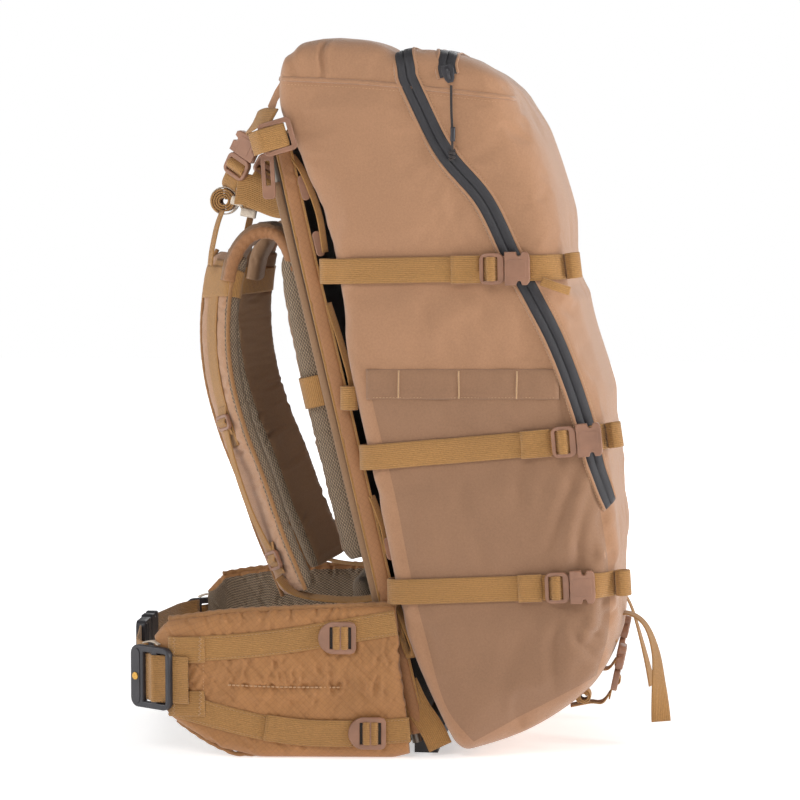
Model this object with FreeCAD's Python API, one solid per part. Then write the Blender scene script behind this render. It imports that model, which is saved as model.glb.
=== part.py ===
import FreeCAD, Part
import math
import os

V = FreeCAD.Vector

# ---- driving dimensions (mm, degrees) --------------------------------------
FRAME_LEAN = 13.8          # frame leans back from vertical
WEBBING = 25.4             # width of all compression webbing
CLEAR = 0.3                # running gap between separate pieces

RAIL_R = 5.0
RAIL_Y = 135.0             # half spacing of the two frame rails
RAIL_FOOT = 14.0           # lengths along the frame, from the foot
RAIL_TOP = 640.0
RAIL_N = -5.0              # height of the rail axis above the frame plane
SLEEVE_R = 7.5

BAG_HALF = 165.0           # half depth of the bag, side to side
BAG_WALL = 3.0
EDGE_ROUND = 38.0          # rounding between the side and front panels
CORNER_R = 24.0
# side outline of the bag as (height above frame, length along frame, rounding share)
BAG_OUTLINE = [(12, 120, 0.25), (12, 710, 0.6), (36, 736, 0.6), (80, 732, 0.6),
               (185, 690, 0.6), (250, 645, 1.0), (266, 420, 1.0), (262, 270, 1.0),
               (235, 125, 1.0), (205, 42, 0.6), (120, 8, 0.6), (45, -4, 0.4)]
# line of the main zipper on the side, same axes
ZIPPER_LINE = [(150, 760), (147, 671), (165, 591), (193, 533), (207, 470), (220, 427),
               (234, 370), (239, 317), (236, 224), (217, 133), (196, 62)]
ZIPPER_WIDTH = 18.0
COLLAR_SEAM = [(-20, 693), (320, 603)]
BACK_PANEL_N = 24.0
BOTTOM_PANEL_S = 34.0

# compression straps: (name, rear x, rear z, front x, front z, buckle x)
STRAPS = [("upper", -106, 492, 140, 497, 82),
          ("middle", -66, 305, 190, 329, 154),
          ("lower", -38, 170, 172, 180, 148)]
POCKET_SKIN = 2.0
STRAP_THICK = 1.8
BUCKLE_HEIGHT = 33.0
BUCKLE_HALF = 25.0         # length of each half of a side-release buckle
BUCKLE_THICK = 8.5
PRONG = 14.0

BELT_THICK = 18.0
BELT_HINGE = (-12.0, -152.0)
BELT_CORNER = (-228.0, -100.0)
BELT_CORNER_R = 70.0
BELT_FRONT_X = -314.0
WING_PROFILE = [(-13, 4), (-28, 156), (-142, 151), (-204, 147), (-258, 139), (-273, 122),
                (-273, 58), (-250, 36), (-205, 9), (-165, 0), (-30, 0)]
BELT_WEBBING = 50.0        # front webbing of the hip belt
BELT_WEBBING_Z = 87.0
BELT_STRAPS = [[(-252, 115), (-154, 121), (-28, 139)],
               [(-252, 60), (-163, 33), (-90, 25), (-14, 30)]]
LADDERLOCKS = [("upper", -68, 124), ("lower", -38, 27)]
LOCK_LENGTH, LOCK_HEIGHT, LOCK_THICK = 38.0, 33.0, 5.0
ADJUSTER_ANGLE = 42.0
ADJUSTER_LENGTH, ADJUSTER_HEIGHT, ADJUSTER_THICK = 54.0, 64.0, 7.0
WAIST_HALF, WAIST_HEIGHT, WAIST_THICK = 36.0, 60.0, 12.0

PAD_WIDTH = 62.0
PAD_THICK = 14.0
PAD_TURN = 38.0            # the pad's outer face turns this far towards the side
# centreline of a shoulder pad: (x, y, z)
PAD_LINE = [(-192, -80, 533), (-202, -84, 512), (-212, -90, 484), (-216, -98, 432),
            (-211, -104, 381), (-197, -108, 330), (-177, -112, 279), (-159, -115, 228),
            (-143, -117, 190)]
BACK_PAD_LINE = [(-163, -78, 545), (-156, -82, 531), (-149, -90, 511), (-141, -98, 480),
                 (-127, -102, 422), (-113, -102, 364), (-99, -102, 305), (-84, -102, 247),
                 (-72, -102, 198)]
LOWER_STRAP = [(-148, 168), (-88, 158)]
YOKE_BAND = [(-182, 563), (-142, 570)]

RING_CENTRE = (-146.0, -168.0, 632.0)
LIFTER_TOP = (-180.0, -112.0, 630.0)
LIFTER_END = (-203.0, -98.0, 585.0)
LIFTER_FACE = (-0.4, -0.9, 0.0)
ROLL_CENTRE = (-212.0, -88.0, 562.0)

SLIDER = (189.0, 662.0)    # on the side of the bag, above the frame and along it
PULL_ROUTE = [(0, 0, 0), (0, -2, -22), (1.5, -2, -45), (1, 0, -68)]
PULL_R = 1.3
BOTTOM_BUCKLE = (191.0, -100.0, 88.0)
TAIL = [(203, 138), (230, 102), (241, 24)]


# ---- helpers ----------------------------------------------------------------
def box(low, high):
    size = [b - a for a, b in zip(low, high)]
    return Part.makeBox(size[0], size[1], size[2], V(*low))


def leaned(shape):
    """Turn a shape built with X = above the frame, Z = along it, into the world."""
    turned = shape.copy()
    turned.rotate(V(0, 0, 0), V(0, 1, 0), -FRAME_LEAN)
    return turned


def mirrored(shape):
    return shape.mirror(V(0, 0, 0), V(0, 1, 0))


def side_prism(points, y_low, y_high):
    """Extrude an outline drawn in the XZ plane across the depth."""
    corners = [V(x, y_low, z) for x, z in points]
    face = Part.Face(Part.makePolygon(corners + corners[:1]))
    return face.extrude(V(0, y_high - y_low, 0))


def rod(start, end, radius):
    run = V(*end) - V(*start)
    return Part.makeCylinder(radius, run.Length, V(*start), run)


def cord_tube(route, radius):
    """Round tube along straight runs joined by tangent arcs."""
    start = route[0]
    pieces = []
    for before, here, after in zip(route, route[1:], route[2:]):
        back = before - here
        ahead = after - here
        cut = 0.45 * min(back.Length, ahead.Length)
        back.normalize()
        ahead.normalize()
        half = back.getAngle(ahead) / 2
        arc_r = cut * math.tan(half)
        print("cord radius", round(arc_r, 1))
        middle = (back + ahead).normalize()
        through = here + middle * (math.hypot(cut, arc_r) - arc_r)
        pieces.append(Part.makeLine(start, here + back * cut))
        pieces.append(Part.Arc(here + back * cut, through, here + ahead * cut).toShape())
        start = here + ahead * cut
    pieces.append(Part.makeLine(start, route[-1]))
    path = Part.Wire(pieces)
    ring = Part.Wire(Part.makeCircle(radius, route[0], route[1] - route[0]))
    return path.makePipeShell([ring], True, True)


def band(start, end, width):
    """Corners of a straight strip in the XZ plane."""
    along = math.atan2(end[1] - start[1], end[0] - start[0])
    dx = -math.sin(along) * width / 2
    dz = math.cos(along) * width / 2
    return [(start[0] + dx, start[1] + dz), (end[0] + dx, end[1] + dz),
            (end[0] - dx, end[1] - dz), (start[0] - dx, start[1] - dz)]


def set_on(shape, origin, along, outward):
    """Place a shape drawn along +X with its outer side towards -Y."""
    x_axis = V(*along).normalize()
    y_axis = V(*outward).normalize() * -1
    z_axis = x_axis.cross(y_axis).normalize()
    y_axis = z_axis.cross(x_axis)
    moved = shape.copy()
    moved.Placement = FreeCAD.Placement(FreeCAD.Matrix(
        x_axis.x, y_axis.x, z_axis.x, origin[0],
        x_axis.y, y_axis.y, z_axis.y, origin[1],
        x_axis.z, y_axis.z, z_axis.z, origin[2], 0, 0, 0, 1))
    return moved


def pair(nodes, name, shape):
    nodes[name + "_left"] = shape
    nodes[name + "_right"] = mirrored(shape)


# ---- bag --------------------------------------------------------------------
def shifted_outline(grow, inset):
    """Bag outline with every edge moved out by grow and in by its share of inset."""
    lines = []
    count = len(BAG_OUTLINE)
    for i in range(count):
        (n0, s0, share), (n1, s1, _) = BAG_OUTLINE[i], BAG_OUTLINE[(i + 1) % count]
        length = math.hypot(n1 - n0, s1 - s0)
        out_n, out_s = -(s1 - s0) / length, (n1 - n0) / length
        move = grow - inset * share
        lines.append((out_n, out_s, out_n * n0 + out_s * s0 + move))
    corners = []
    for i in range(count):
        a1, b1, c1 = lines[i - 1]
        a2, b2, c2 = lines[i]
        det = a1 * b2 - a2 * b1
        corners.append(((c1 * b2 - c2 * b1) / det, (a1 * c2 - a2 * c1) / det))
    return corners


def rounded_wire(corners, y, radius):
    """Closed wire through the corners, each one rounded by an arc."""
    edges = []
    ends = []
    count = len(corners)
    for i in range(count):
        here = V(corners[i][0], y, corners[i][1])
        before = V(corners[i - 1][0], y, corners[i - 1][1]) - here
        after = V(corners[(i + 1) % count][0], y, corners[(i + 1) % count][1]) - here
        before_len, after_len = before.Length, after.Length
        before.normalize()
        after.normalize()
        half = before.getAngle(after) / 2
        cut = min(radius / math.tan(half), 0.45 * before_len, 0.45 * after_len)
        middle = before + after
        middle.normalize()
        arc_r = cut * math.tan(half)
        sag = math.hypot(cut, arc_r) - arc_r
        ends.append((here + before * cut, here + middle * sag, here + after * cut))
    for i in range(count):
        start, through, end = ends[i]
        edges.append(Part.Arc(start, through, end).toShape())
        edges.append(Part.makeLine(end, ends[(i + 1) % count][0]))
    return Part.Wire(edges)


def bag_solid(grow):
    """Whole bag, rounded at both sides, grown outward by the given amount."""
    steps = [0, 25, 50, 75, 90]
    stations = []
    for angle in steps:
        reach = BAG_HALF - EDGE_ROUND + (EDGE_ROUND + grow) * math.sin(math.radians(90 - angle))
        inset = EDGE_ROUND * (1 - math.cos(math.radians(90 - angle)))
        stations.append((reach, inset))
    ordered = [(-reach, inset) for reach, inset in stations]
    ordered += [(reach, inset) for reach, inset in reversed(stations)]
    wires = []
    for y, inset in ordered:
        wires.append(rounded_wire(shifted_outline(grow, inset), y, CORNER_R))
    return leaned(Part.makeLoft(wires, True, True))


def skin(inner, outer):
    return bag_solid(outer).cut(bag_solid(inner))


def lean_prism(points):
    return leaned(side_prism(points, -300, 300))


def half_space(side):
    low, high = (-300, 0) if side < 0 else (0, 300)
    return box((-600, low, -100), (600, high, 900))


def front_region(offset):
    line = [(n + offset, s) for n, s in ZIPPER_LINE]
    return lean_prism(line + [(line[-1][0], -80), (400, -80), (400, 760)])


def zipper_region():
    left = [(n - ZIPPER_WIDTH / 2, s) for n, s in ZIPPER_LINE]
    right = [(n + ZIPPER_WIDTH / 2, s) for n, s in reversed(ZIPPER_LINE)]
    return lean_prism(left + right)


def bag_panels(nodes):
    shell = skin(-BAG_WALL, 0)
    collar = lean_prism(COLLAR_SEAM + [(320, 800), (-20, 800)])
    nodes["bag_top_collar"] = shell.common(collar)
    rest = shell.cut(collar)
    front = front_region(0)
    nodes["bag_front_panel"] = rest.common(front)
    rest = rest.cut(front)
    back = lean_prism([(-20, -60), (BACK_PANEL_N, -60), (BACK_PANEL_N, 760), (-20, 760)])
    nodes["bag_back_panel"] = rest.common(back)
    rest = rest.cut(back)
    bottom = lean_prism([(-20, -60), (330, -60), (330, BOTTOM_PANEL_S), (-20, BOTTOM_PANEL_S)])
    nodes["bag_bottom_panel"] = rest.common(bottom)
    rest = rest.cut(bottom)
    for name, side in (("left", -1), ("right", 1)):
        nodes["bag_side_panel_" + name] = rest.common(half_space(side))


def zippers(nodes):
    tape = skin(0, 1.5).common(zipper_region())
    inner = box((-600, -105, -100), (600, 105, 900))
    pair(nodes, "zipper_side", tape.cut(inner).common(half_space(-1)))


def pockets(nodes):
    """Low stretch pocket on each side, with a hem band along its mouth."""
    mouth = 394
    limit = front_region(-ZIPPER_WIDTH / 2 - 1)
    edge = lean_prism([(-20, -80), (BACK_PANEL_N + 8, -80), (BACK_PANEL_N + 8, 760), (-20, 760)])
    floor = lean_prism([(-20, -80), (330, -80), (330, BOTTOM_PANEL_S + 6),
                        (-20, BOTTOM_PANEL_S + 6)])
    cloth = skin(0, POCKET_SKIN).cut(limit).cut(edge).cut(floor)
    cloth = cloth.common(box((-300, -300, 0), (300, 300, mouth)))
    nodes["side_pocket_left"] = cloth.common(half_space(-1))
    nodes["side_pocket_right"] = cloth.common(half_space(1))


def strap_layer():
    low = POCKET_SKIN + CLEAR
    return skin(low, low + STRAP_THICK)


def compression_straps(nodes):
    """Three webbing straps on each side, from the frame rail to the front seam."""
    layer = strap_layer()
    outer = BAG_HALF + POCKET_SKIN + CLEAR
    straps = []
    for _, x0, z0, x1, z1, _ in STRAPS:
        strip = side_prism(band((x0 + 12, z0), (x1, z1), WEBBING), -300, -60)
        reach = band((x0, z0), (x0 + 40, z0 + 40 * (z1 - z0) / (x1 - x0)), WEBBING)
        lead = side_prism(reach, -outer - STRAP_THICK, -outer)
        straps.append(layer.common(strip).fuse(lead).removeSplitter())
    pair(nodes, "compression_straps", Part.makeCompound(straps))


# ---- side-release buckle, drawn along +X with its joint face at x = 0 -------
def buckle_socket(height, half, thick):
    body = box((0, -thick, -height / 2), (half, 0, height / 2))
    mouth = box((-1, -thick + 1.6, -height / 2 + 3), (PRONG + 2, -1.6, height / 2 - 3))
    bar_gap = box((half - 6.5, -thick - 1, -height / 2 + 3.8), (half - 3, 1, height / 2 - 3.8))
    return body.cut(mouth).cut(bar_gap)


def ladder_frame(height, half, thick, slots):
    """Flat frame from x = -half to 0 with slots for webbing."""
    frame_body = box((-half, -thick, -height / 2), (0, 0, height / 2))
    for start, width in slots:
        frame_body = frame_body.cut(box((start, -thick - 1, -height / 2 + 3.2),
                                        (start + width, 1, height / 2 - 3.2)))
    return frame_body


def buckle_plug(height, half, thick):
    """Ladder frame with three prongs that reach into the socket."""
    plug = ladder_frame(height - 2, half, thick, [(-half + 3.5, 5.5), (-half + 12.5, 5.5)])
    plug = plug.cut(box((-0.5, -thick - 1, -height), (1, 1, height)))
    for z in (-height / 2 + 4.2, -2.0, height / 2 - 8.2):
        plug = plug.fuse(box((-1, -thick + 2.6, z), (PRONG, -2.6, z + 4)))
    return plug.removeSplitter()


def strap_buckles(nodes):
    """A buckle lying flat on each compression strap."""
    outer = BAG_HALF + POCKET_SKIN + STRAP_THICK + 2 * CLEAR
    sockets = []
    for name, x0, z0, x1, z1, at in STRAPS:
        along = (x1 - x0, 0, z1 - z0)
        origin = (at, -outer, z0 + (at - x0) * (z1 - z0) / (x1 - x0))
        socket = buckle_socket(BUCKLE_HEIGHT, BUCKLE_HALF, BUCKLE_THICK)
        plug = buckle_plug(BUCKLE_HEIGHT, BUCKLE_HALF, BUCKLE_THICK)
        sockets.append(set_on(socket, origin, along, (0, -1, 0)))
        pair(nodes, "plug_" + name, set_on(plug, origin, along, (0, -1, 0)))
    nodes["buckle_sockets"] = Part.makeCompound(sockets + [mirrored(part) for part in sockets])


# ---- frame ------------------------------------------------------------------
def frame(nodes):
    rail = leaned(rod((RAIL_N, -RAIL_Y, RAIL_FOOT), (RAIL_N, -RAIL_Y, RAIL_TOP), RAIL_R))
    nodes["frame_rail_left"] = rail
    nodes["frame_rail_right"] = mirrored(rail)
    sleeve = rod((RAIL_N, -RAIL_Y, RAIL_FOOT + 12), (RAIL_N, -RAIL_Y, RAIL_TOP - 12), SLEEVE_R)
    bore = rod((RAIL_N, -RAIL_Y, 0), (RAIL_N, -RAIL_Y, RAIL_TOP + 9), RAIL_R + 0.1)
    sleeve = leaned(sleeve.cut(bore))
    nodes["frame_sleeves"] = Part.makeCompound([sleeve, mirrored(sleeve)])
    span = RAIL_Y - SLEEVE_R - CLEAR
    top = RAIL_TOP - 22
    nodes["frame_crossbar_top"] = leaned(rod((RAIL_N, -span, top), (RAIL_N, span, top), 4))
    nodes["frame_base_bar"] = box((-12, -span, 0), (12, span, 14))
    nodes["frame_sheet"] = leaned(box((2, -span, 30), (4, span, 600)))


def lumbar_pad(nodes):
    pad = leaned(box((-44, -118, -20), (-12, 118, 190)))
    pad = pad.common(box((-200, -130, 0), (-13, 130, 185)))
    nodes["lumbar_pad"] = pad.makeFillet(8, [e for e in pad.Edges if e.Length > 150 and
                                             abs(e.tangentAt(0).y) < 0.1][:4])


# ---- hip belt ---------------------------------------------------------------
def belt_plan():
    """Plan of the left half of the belt as points from the rear to the front centre."""
    cx, cy = BELT_CORNER
    plan = [BELT_HINGE, (cx, cy - BELT_CORNER_R)]
    for degrees in (15, 30, 45, 60, 75, 90):
        angle = math.radians(degrees)
        plan.append((cx - BELT_CORNER_R * math.sin(angle), cy - BELT_CORNER_R * math.cos(angle)))
    plan.append((BELT_FRONT_X, 0))
    return plan


def belt_ribbon(inner, outer, z_low, z_high):
    """Upright strip along the belt plan between two distances outside it."""
    plan = belt_plan()
    rows = []
    for distance in (inner, outer):
        row = []
        for i, (x, y) in enumerate(plan):
            ax, ay = plan[max(i - 1, 0)]
            bx, by = plan[min(i + 1, len(plan) - 1)]
            length = math.hypot(bx - ax, by - ay)
            row.append(V(x - distance * (by - ay) / length,
                         y + distance * (bx - ax) / length, z_low))
        rows.append(row)
    corners = rows[0] + rows[1][::-1]
    face = Part.Face(Part.makePolygon(corners + corners[:1]))
    return face.extrude(V(0, 0, z_high - z_low))


def belt_wing(nodes):
    wing = belt_ribbon(-BELT_THICK / 2, BELT_THICK / 2, -10, 170)
    pair(nodes, "belt_wing", wing.common(side_prism(WING_PROFILE, -220, -20)))


def belt_webbing(nodes):
    """Upper and lower strap sewn to the outside of each wing."""
    face = BELT_THICK / 2 + CLEAR
    layer = belt_ribbon(face, face + STRAP_THICK, 0, 170)
    strips = []
    for points in BELT_STRAPS:
        strip = side_prism(band(points[0], points[1], WEBBING), -260, -40)
        for start, end in zip(points[1:], points[2:]):
            strip = strip.fuse(side_prism(band(start, end, WEBBING), -260, -40))
        strips.append(layer.common(strip).removeSplitter())
    pair(nodes, "belt_webbing", Part.makeCompound(strips))


def belt_side_point(x, outside):
    """Point on the straight side of the left wing, at a distance outside its centre."""
    (x0, y0), (x1, y1) = BELT_HINGE, (BELT_CORNER[0], BELT_CORNER[1] - BELT_CORNER_R)
    length = math.hypot(x1 - x0, y1 - y0)
    y = y0 + (x - x0) * (y1 - y0) / (x1 - x0)
    along = ((x0 - x1) / length, (y0 - y1) / length, 0)
    outward = (along[1], -along[0], 0)
    return (x + outward[0] * outside, y + outward[1] * outside), along, outward


def belt_ladderlocks(nodes):
    outside = BELT_THICK / 2 + STRAP_THICK + 2 * CLEAR
    for name, x, z in LADDERLOCKS:
        (px, py), along, outward = belt_side_point(x, outside)
        lock = ladder_frame(LOCK_HEIGHT, LOCK_LENGTH, LOCK_THICK,
                            [(-LOCK_LENGTH + 4, 11), (-LOCK_LENGTH + 20, 11)])
        pair(nodes, "ladderlock_" + name, set_on(lock, (px, py, z), along, outward))


def belt_adjuster(nodes):
    """Slotted plate outside the front corner of each wing."""
    turn = math.radians(ADJUSTER_ANGLE)
    outward = (-math.sin(turn), -math.cos(turn), 0)
    along = (math.cos(turn), -math.sin(turn), 0)
    reach = BELT_CORNER_R + BELT_THICK / 2 + 1
    half = ADJUSTER_LENGTH / 2
    origin = (BELT_CORNER[0] + outward[0] * reach + along[0] * half,
              BELT_CORNER[1] + outward[1] * reach + along[1] * half, BELT_WEBBING_Z)
    plate = ladder_frame(ADJUSTER_HEIGHT, ADJUSTER_LENGTH, ADJUSTER_THICK, [(-36, 13), (-18, 13)])
    pair(nodes, "belt_adjuster", set_on(plate, origin, along, outward))


def belt_front(nodes):
    """Front webbing and the two halves of the waist buckle."""
    half = BELT_WEBBING / 2
    strip = belt_ribbon(4, 6, BELT_WEBBING_Z - half, BELT_WEBBING_Z + half)
    strip = strip.common(box((-340, -124, 0), (-270, -WAIST_HALF - 4, 200)))
    pair(nodes, "belt_front_webbing", strip)
    origin = (BELT_FRONT_X - 6, 0, BELT_WEBBING_Z)
    socket = buckle_socket(WAIST_HEIGHT, WAIST_HALF, WAIST_THICK)
    plug = buckle_plug(WAIST_HEIGHT, WAIST_HALF, WAIST_THICK)
    nodes["waist_buckle_socket"] = set_on(socket, origin, (0, 1, 0), (-1, 0, 0))
    nodes["waist_buckle_plug"] = set_on(plug, origin, (0, 1, 0), (-1, 0, 0))


# ---- harness ----------------------------------------------------------------
def pad_loft(line, width, thick, turn, offset):
    """Flat strip swept along a line of points; turn faces it towards the side."""
    across = V(math.sin(math.radians(turn)), -math.cos(math.radians(turn)), 0)
    wires = []
    for i, point in enumerate(line):
        before = V(*line[max(i - 1, 0)])
        after = V(*line[min(i + 1, len(line) - 1)])
        tangent = (after - before).normalize()
        normal = tangent.cross(across).normalize()
        side = normal.cross(tangent).normalize()
        centre = V(*point) + normal * offset
        corners = [centre + side * (a * width / 2) + normal * (b * thick / 2)
                   for a, b in ((-1, -1), (1, -1), (1, 1), (-1, 1))]
        wires.append(Part.makePolygon(corners + corners[:1]))
    return Part.makeLoft(wires, True, True)


def harness(nodes):
    pair(nodes, "shoulder_pad", pad_loft(PAD_LINE, PAD_WIDTH, PAD_THICK, PAD_TURN, 0))
    pair(nodes, "back_pad", pad_loft(BACK_PAD_LINE, 56, 19, 0, 0))
    offset = PAD_THICK / 2 + CLEAR + 0.9
    pair(nodes, "shoulder_webbing", pad_loft(PAD_LINE[1:-1], 20, STRAP_THICK, PAD_TURN, offset))
    ladders = []
    for index, length in ((5, 16), (8, 20)):
        start, end = V(*PAD_LINE[index - 1]), V(*PAD_LINE[index])
        run = (end - start).normalize()
        across = V(math.sin(math.radians(PAD_TURN)), -math.cos(math.radians(PAD_TURN)), 0)
        outward = run.cross(across).normalize()
        origin = end + outward * (PAD_THICK / 2 + STRAP_THICK + 3 * CLEAR + 0.6)
        slots = [(-length + 3, length / 2 - 4), (-length / 2 + 1.5, length / 2 - 4)]
        ladders.append(set_on(ladder_frame(26, length, 4, slots), origin, run, outward))
    pair(nodes, "shoulder_ladders", Part.makeCompound(ladders))
    lower = side_prism(band(LOWER_STRAP[0], LOWER_STRAP[1], 2), -141, -120)
    yoke = side_prism(band(YOKE_BAND[0], YOKE_BAND[1], 2), -122, -72)
    strips = [lower, yoke]
    nodes["harness_webbing"] = Part.makeCompound(strips + [mirrored(part) for part in strips])


def load_lifters(nodes):
    """Square ring on the collar, and the buckle that hangs from it."""
    ring = box((-17, -4, -17), (17, 0, 17)).cut(box((-12, -5, -12), (12, 1, 12)))
    ring = set_on(ring, RING_CENTRE, (0.97, 0, -0.24), (0, -1, 0))
    nodes["lifter_rings"] = Part.makeCompound([ring, mirrored(ring)])
    along = V(*LIFTER_END) - V(*LIFTER_TOP)
    middle = (V(*LIFTER_END) + V(*LIFTER_TOP)) * 0.5
    socket = set_on(buckle_socket(30, 24, 8), middle, along * -1, LIFTER_FACE)
    plug = set_on(buckle_plug(30, 24, 8), middle, along * -1, LIFTER_FACE)
    nodes["lifter_sockets"] = Part.makeCompound([socket, mirrored(socket)])
    pair(nodes, "lifter_plug", plug)
    roll = rod((ROLL_CENTRE[0], ROLL_CENTRE[1] - 12, ROLL_CENTRE[2]),
               (ROLL_CENTRE[0], ROLL_CENTRE[1] + 12, ROLL_CENTRE[2]), 12)
    pair(nodes, "lifter_roll", roll)


# ---- small parts ------------------------------------------------------------
def top_zipper(nodes):
    region = lean_prism([(181, 652), (196, 652), (196, 760), (181, 760)])
    nodes["zipper_top"] = skin(0, 1.5).common(region)
    face = -BAG_HALF - 2.2
    slider = box((-6, face - 5, -9), (6, face, 9))
    nodes["zipper_slider"] = leaned(slider.translated(V(SLIDER[0], 0, SLIDER[1])))
    top = leaned(Part.Vertex(SLIDER[0], face - 4, SLIDER[1] - 12)).Point
    nodes["zipper_pull_cord"] = cord_tube([top + V(*step) for step in PULL_ROUTE], PULL_R)


def bottom_straps(nodes):
    """Small buckles low on the front, with free webbing tails."""
    socket = set_on(buckle_socket(26, 24, 8), BOTTOM_BUCKLE, (0.2, 0, 0.98), (0.98, 0, -0.2))
    plug = set_on(buckle_plug(26, 24, 8), BOTTOM_BUCKLE, (0.2, 0, 0.98), (0.98, 0, -0.2))
    nodes["bottom_buckles"] = Part.makeCompound([socket, plug, mirrored(socket), mirrored(plug)])
    tail = side_prism(band(TAIL[0], TAIL[1], 2), -74, -54)
    tail = tail.fuse(side_prism(band(TAIL[1], TAIL[2], 2), -74, -54))
    nodes["bottom_tails"] = Part.makeCompound([tail, mirrored(tail)])


def build():
    nodes = {}
    frame(nodes)
    lumbar_pad(nodes)
    bag_panels(nodes)
    zippers(nodes)
    pockets(nodes)
    compression_straps(nodes)
    strap_buckles(nodes)
    belt_wing(nodes)
    belt_webbing(nodes)
    belt_ladderlocks(nodes)
    belt_adjuster(nodes)
    belt_front(nodes)
    harness(nodes)
    load_lifters(nodes)
    top_zipper(nodes)
    bottom_straps(nodes)
    return nodes


os.makedirs("parts", exist_ok=True)
for node_name, node_shape in build().items():
    node_shape.exportStep("parts/" + node_name + ".step")
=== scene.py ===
import math

import bpy
import numpy as np
from mathutils import Matrix, Vector
from mathutils.bvhtree import BVHTree


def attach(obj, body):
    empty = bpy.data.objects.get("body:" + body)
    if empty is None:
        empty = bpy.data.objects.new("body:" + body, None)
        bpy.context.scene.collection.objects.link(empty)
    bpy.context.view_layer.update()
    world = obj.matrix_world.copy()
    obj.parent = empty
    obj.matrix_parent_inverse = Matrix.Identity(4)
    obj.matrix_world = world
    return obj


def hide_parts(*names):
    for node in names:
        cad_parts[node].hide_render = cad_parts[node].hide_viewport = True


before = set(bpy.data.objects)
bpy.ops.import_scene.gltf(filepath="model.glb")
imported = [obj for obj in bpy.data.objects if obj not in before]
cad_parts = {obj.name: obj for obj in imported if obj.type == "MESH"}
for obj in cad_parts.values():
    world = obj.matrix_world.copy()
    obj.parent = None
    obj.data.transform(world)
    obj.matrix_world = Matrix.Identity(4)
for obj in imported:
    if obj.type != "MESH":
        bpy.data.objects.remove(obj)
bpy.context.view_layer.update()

MM = 0.001
LEAN = math.radians(13.8)
SIDES = (("left", -1), ("right", 1))


# ---- camera, floor and light -------------------------------------------------
VIEW_AZIMUTH = math.radians(6.0)
VIEW_ELEVATION = math.radians(4.5)
VIEW_DISTANCE = 3.0
VIEW_TARGET = Vector((-0.0403, 0.0, 0.351))
LENS = 127.6
AMBIENT = 0.26


def make_camera():
    flat = math.cos(VIEW_ELEVATION)
    forward = Vector((-math.sin(VIEW_AZIMUTH) * flat, math.cos(VIEW_AZIMUTH) * flat,
                      -math.sin(VIEW_ELEVATION)))
    data = bpy.data.cameras.new("camera")
    data.lens = LENS
    data.sensor_width = 36.0
    camera = bpy.data.objects.new("camera", data)
    camera.location = VIEW_TARGET - forward * VIEW_DISTANCE
    camera.rotation_euler = forward.to_track_quat("-Z", "Y").to_euler()
    bpy.context.scene.collection.objects.link(camera)
    bpy.context.scene.camera = camera


def area_light(name, place, target, size, power):
    data = bpy.data.lights.new(name, "AREA")
    data.shape = "RECTANGLE"
    data.size, data.size_y = size
    data.energy = power
    lamp = bpy.data.objects.new(name, data)
    lamp.location = place
    lamp.rotation_euler = (Vector(target) - Vector(place)).to_track_quat("-Z", "Y").to_euler()
    bpy.context.scene.collection.objects.link(lamp)


def make_studio():
    world = bpy.data.worlds.new("studio")
    world.use_nodes = True
    tree = world.node_tree
    lit = tree.nodes["Background"]
    lit.inputs["Color"].default_value = (1.0, 1.0, 1.0, 1.0)
    lit.inputs["Strength"].default_value = AMBIENT
    seen = tree.nodes.new("ShaderNodeBackground")
    seen.inputs["Color"].default_value = (1.0, 1.0, 1.0, 1.0)
    rays = tree.nodes.new("ShaderNodeLightPath")
    mix = tree.nodes.new("ShaderNodeMixShader")
    tree.links.new(rays.outputs["Is Camera Ray"], mix.inputs[0])
    tree.links.new(lit.outputs[0], mix.inputs[1])
    tree.links.new(seen.outputs[0], mix.inputs[2])
    tree.links.new(mix.outputs[0], tree.nodes["World Output"].inputs["Surface"])
    bpy.context.scene.world = world
    bpy.context.scene.view_settings.view_transform = "Standard"
    area_light("front_light", (-0.7, -2.4, 2.3), (0, 0, 0.35), (1.3, 1.0), 26)
    area_light("right_light", (2.3, -0.5, 1.1), (0.1, 0, 0.4), (0.8, 1.5), 38)
    area_light("left_light", (-2.3, -0.4, 0.9), (-0.2, 0, 0.4), (0.7, 1.3), 14)
    area_light("back_light", (0.3, 2.6, 1.6), (0, 0, 0.4), (2.0, 1.4), 24)
    size = 6.0
    mesh = bpy.data.meshes.new("floor")
    mesh.from_pydata([(-size, -size, 0), (size, -size, 0), (size, size, 0), (-size, size, 0)],
                     [], [(0, 1, 2, 3)])
    floor = bpy.data.objects.new("floor", mesh)
    bpy.context.scene.collection.objects.link(floor)
    material = bpy.data.materials.new("floor")
    material.use_nodes = True
    tree = material.node_tree
    shader = tree.nodes["Principled BSDF"]
    shader.inputs["Base Color"].default_value = (0.93, 0.93, 0.93, 1)
    shader.inputs["Roughness"].default_value = 0.7
    shader.inputs["Emission Color"].default_value = (1, 1, 1, 1)
    place = tree.nodes.new("ShaderNodeTexCoord")
    length = tree.nodes.new("ShaderNodeVectorMath")
    length.operation = "LENGTH"
    fade = tree.nodes.new("ShaderNodeMapRange")
    fade.inputs["From Min"].default_value = 0.5
    fade.inputs["From Max"].default_value = 1.5
    fade.inputs["To Min"].default_value = 0.5
    fade.inputs["To Max"].default_value = 1.0
    tree.links.new(place.outputs["Object"], length.inputs[0])
    tree.links.new(length.outputs["Value"], fade.inputs["Value"])
    tree.links.new(fade.outputs[0], shader.inputs["Emission Strength"])
    mesh.materials.append(material)


# ---- materials ---------------------------------------------------------------
def srgb(red, green, blue):
    return tuple((c / 255 / 12.92) if c < 11 else ((c / 255 + 0.055) / 1.055) ** 2.4
                 for c in (red, green, blue)) + (1.0,)


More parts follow.
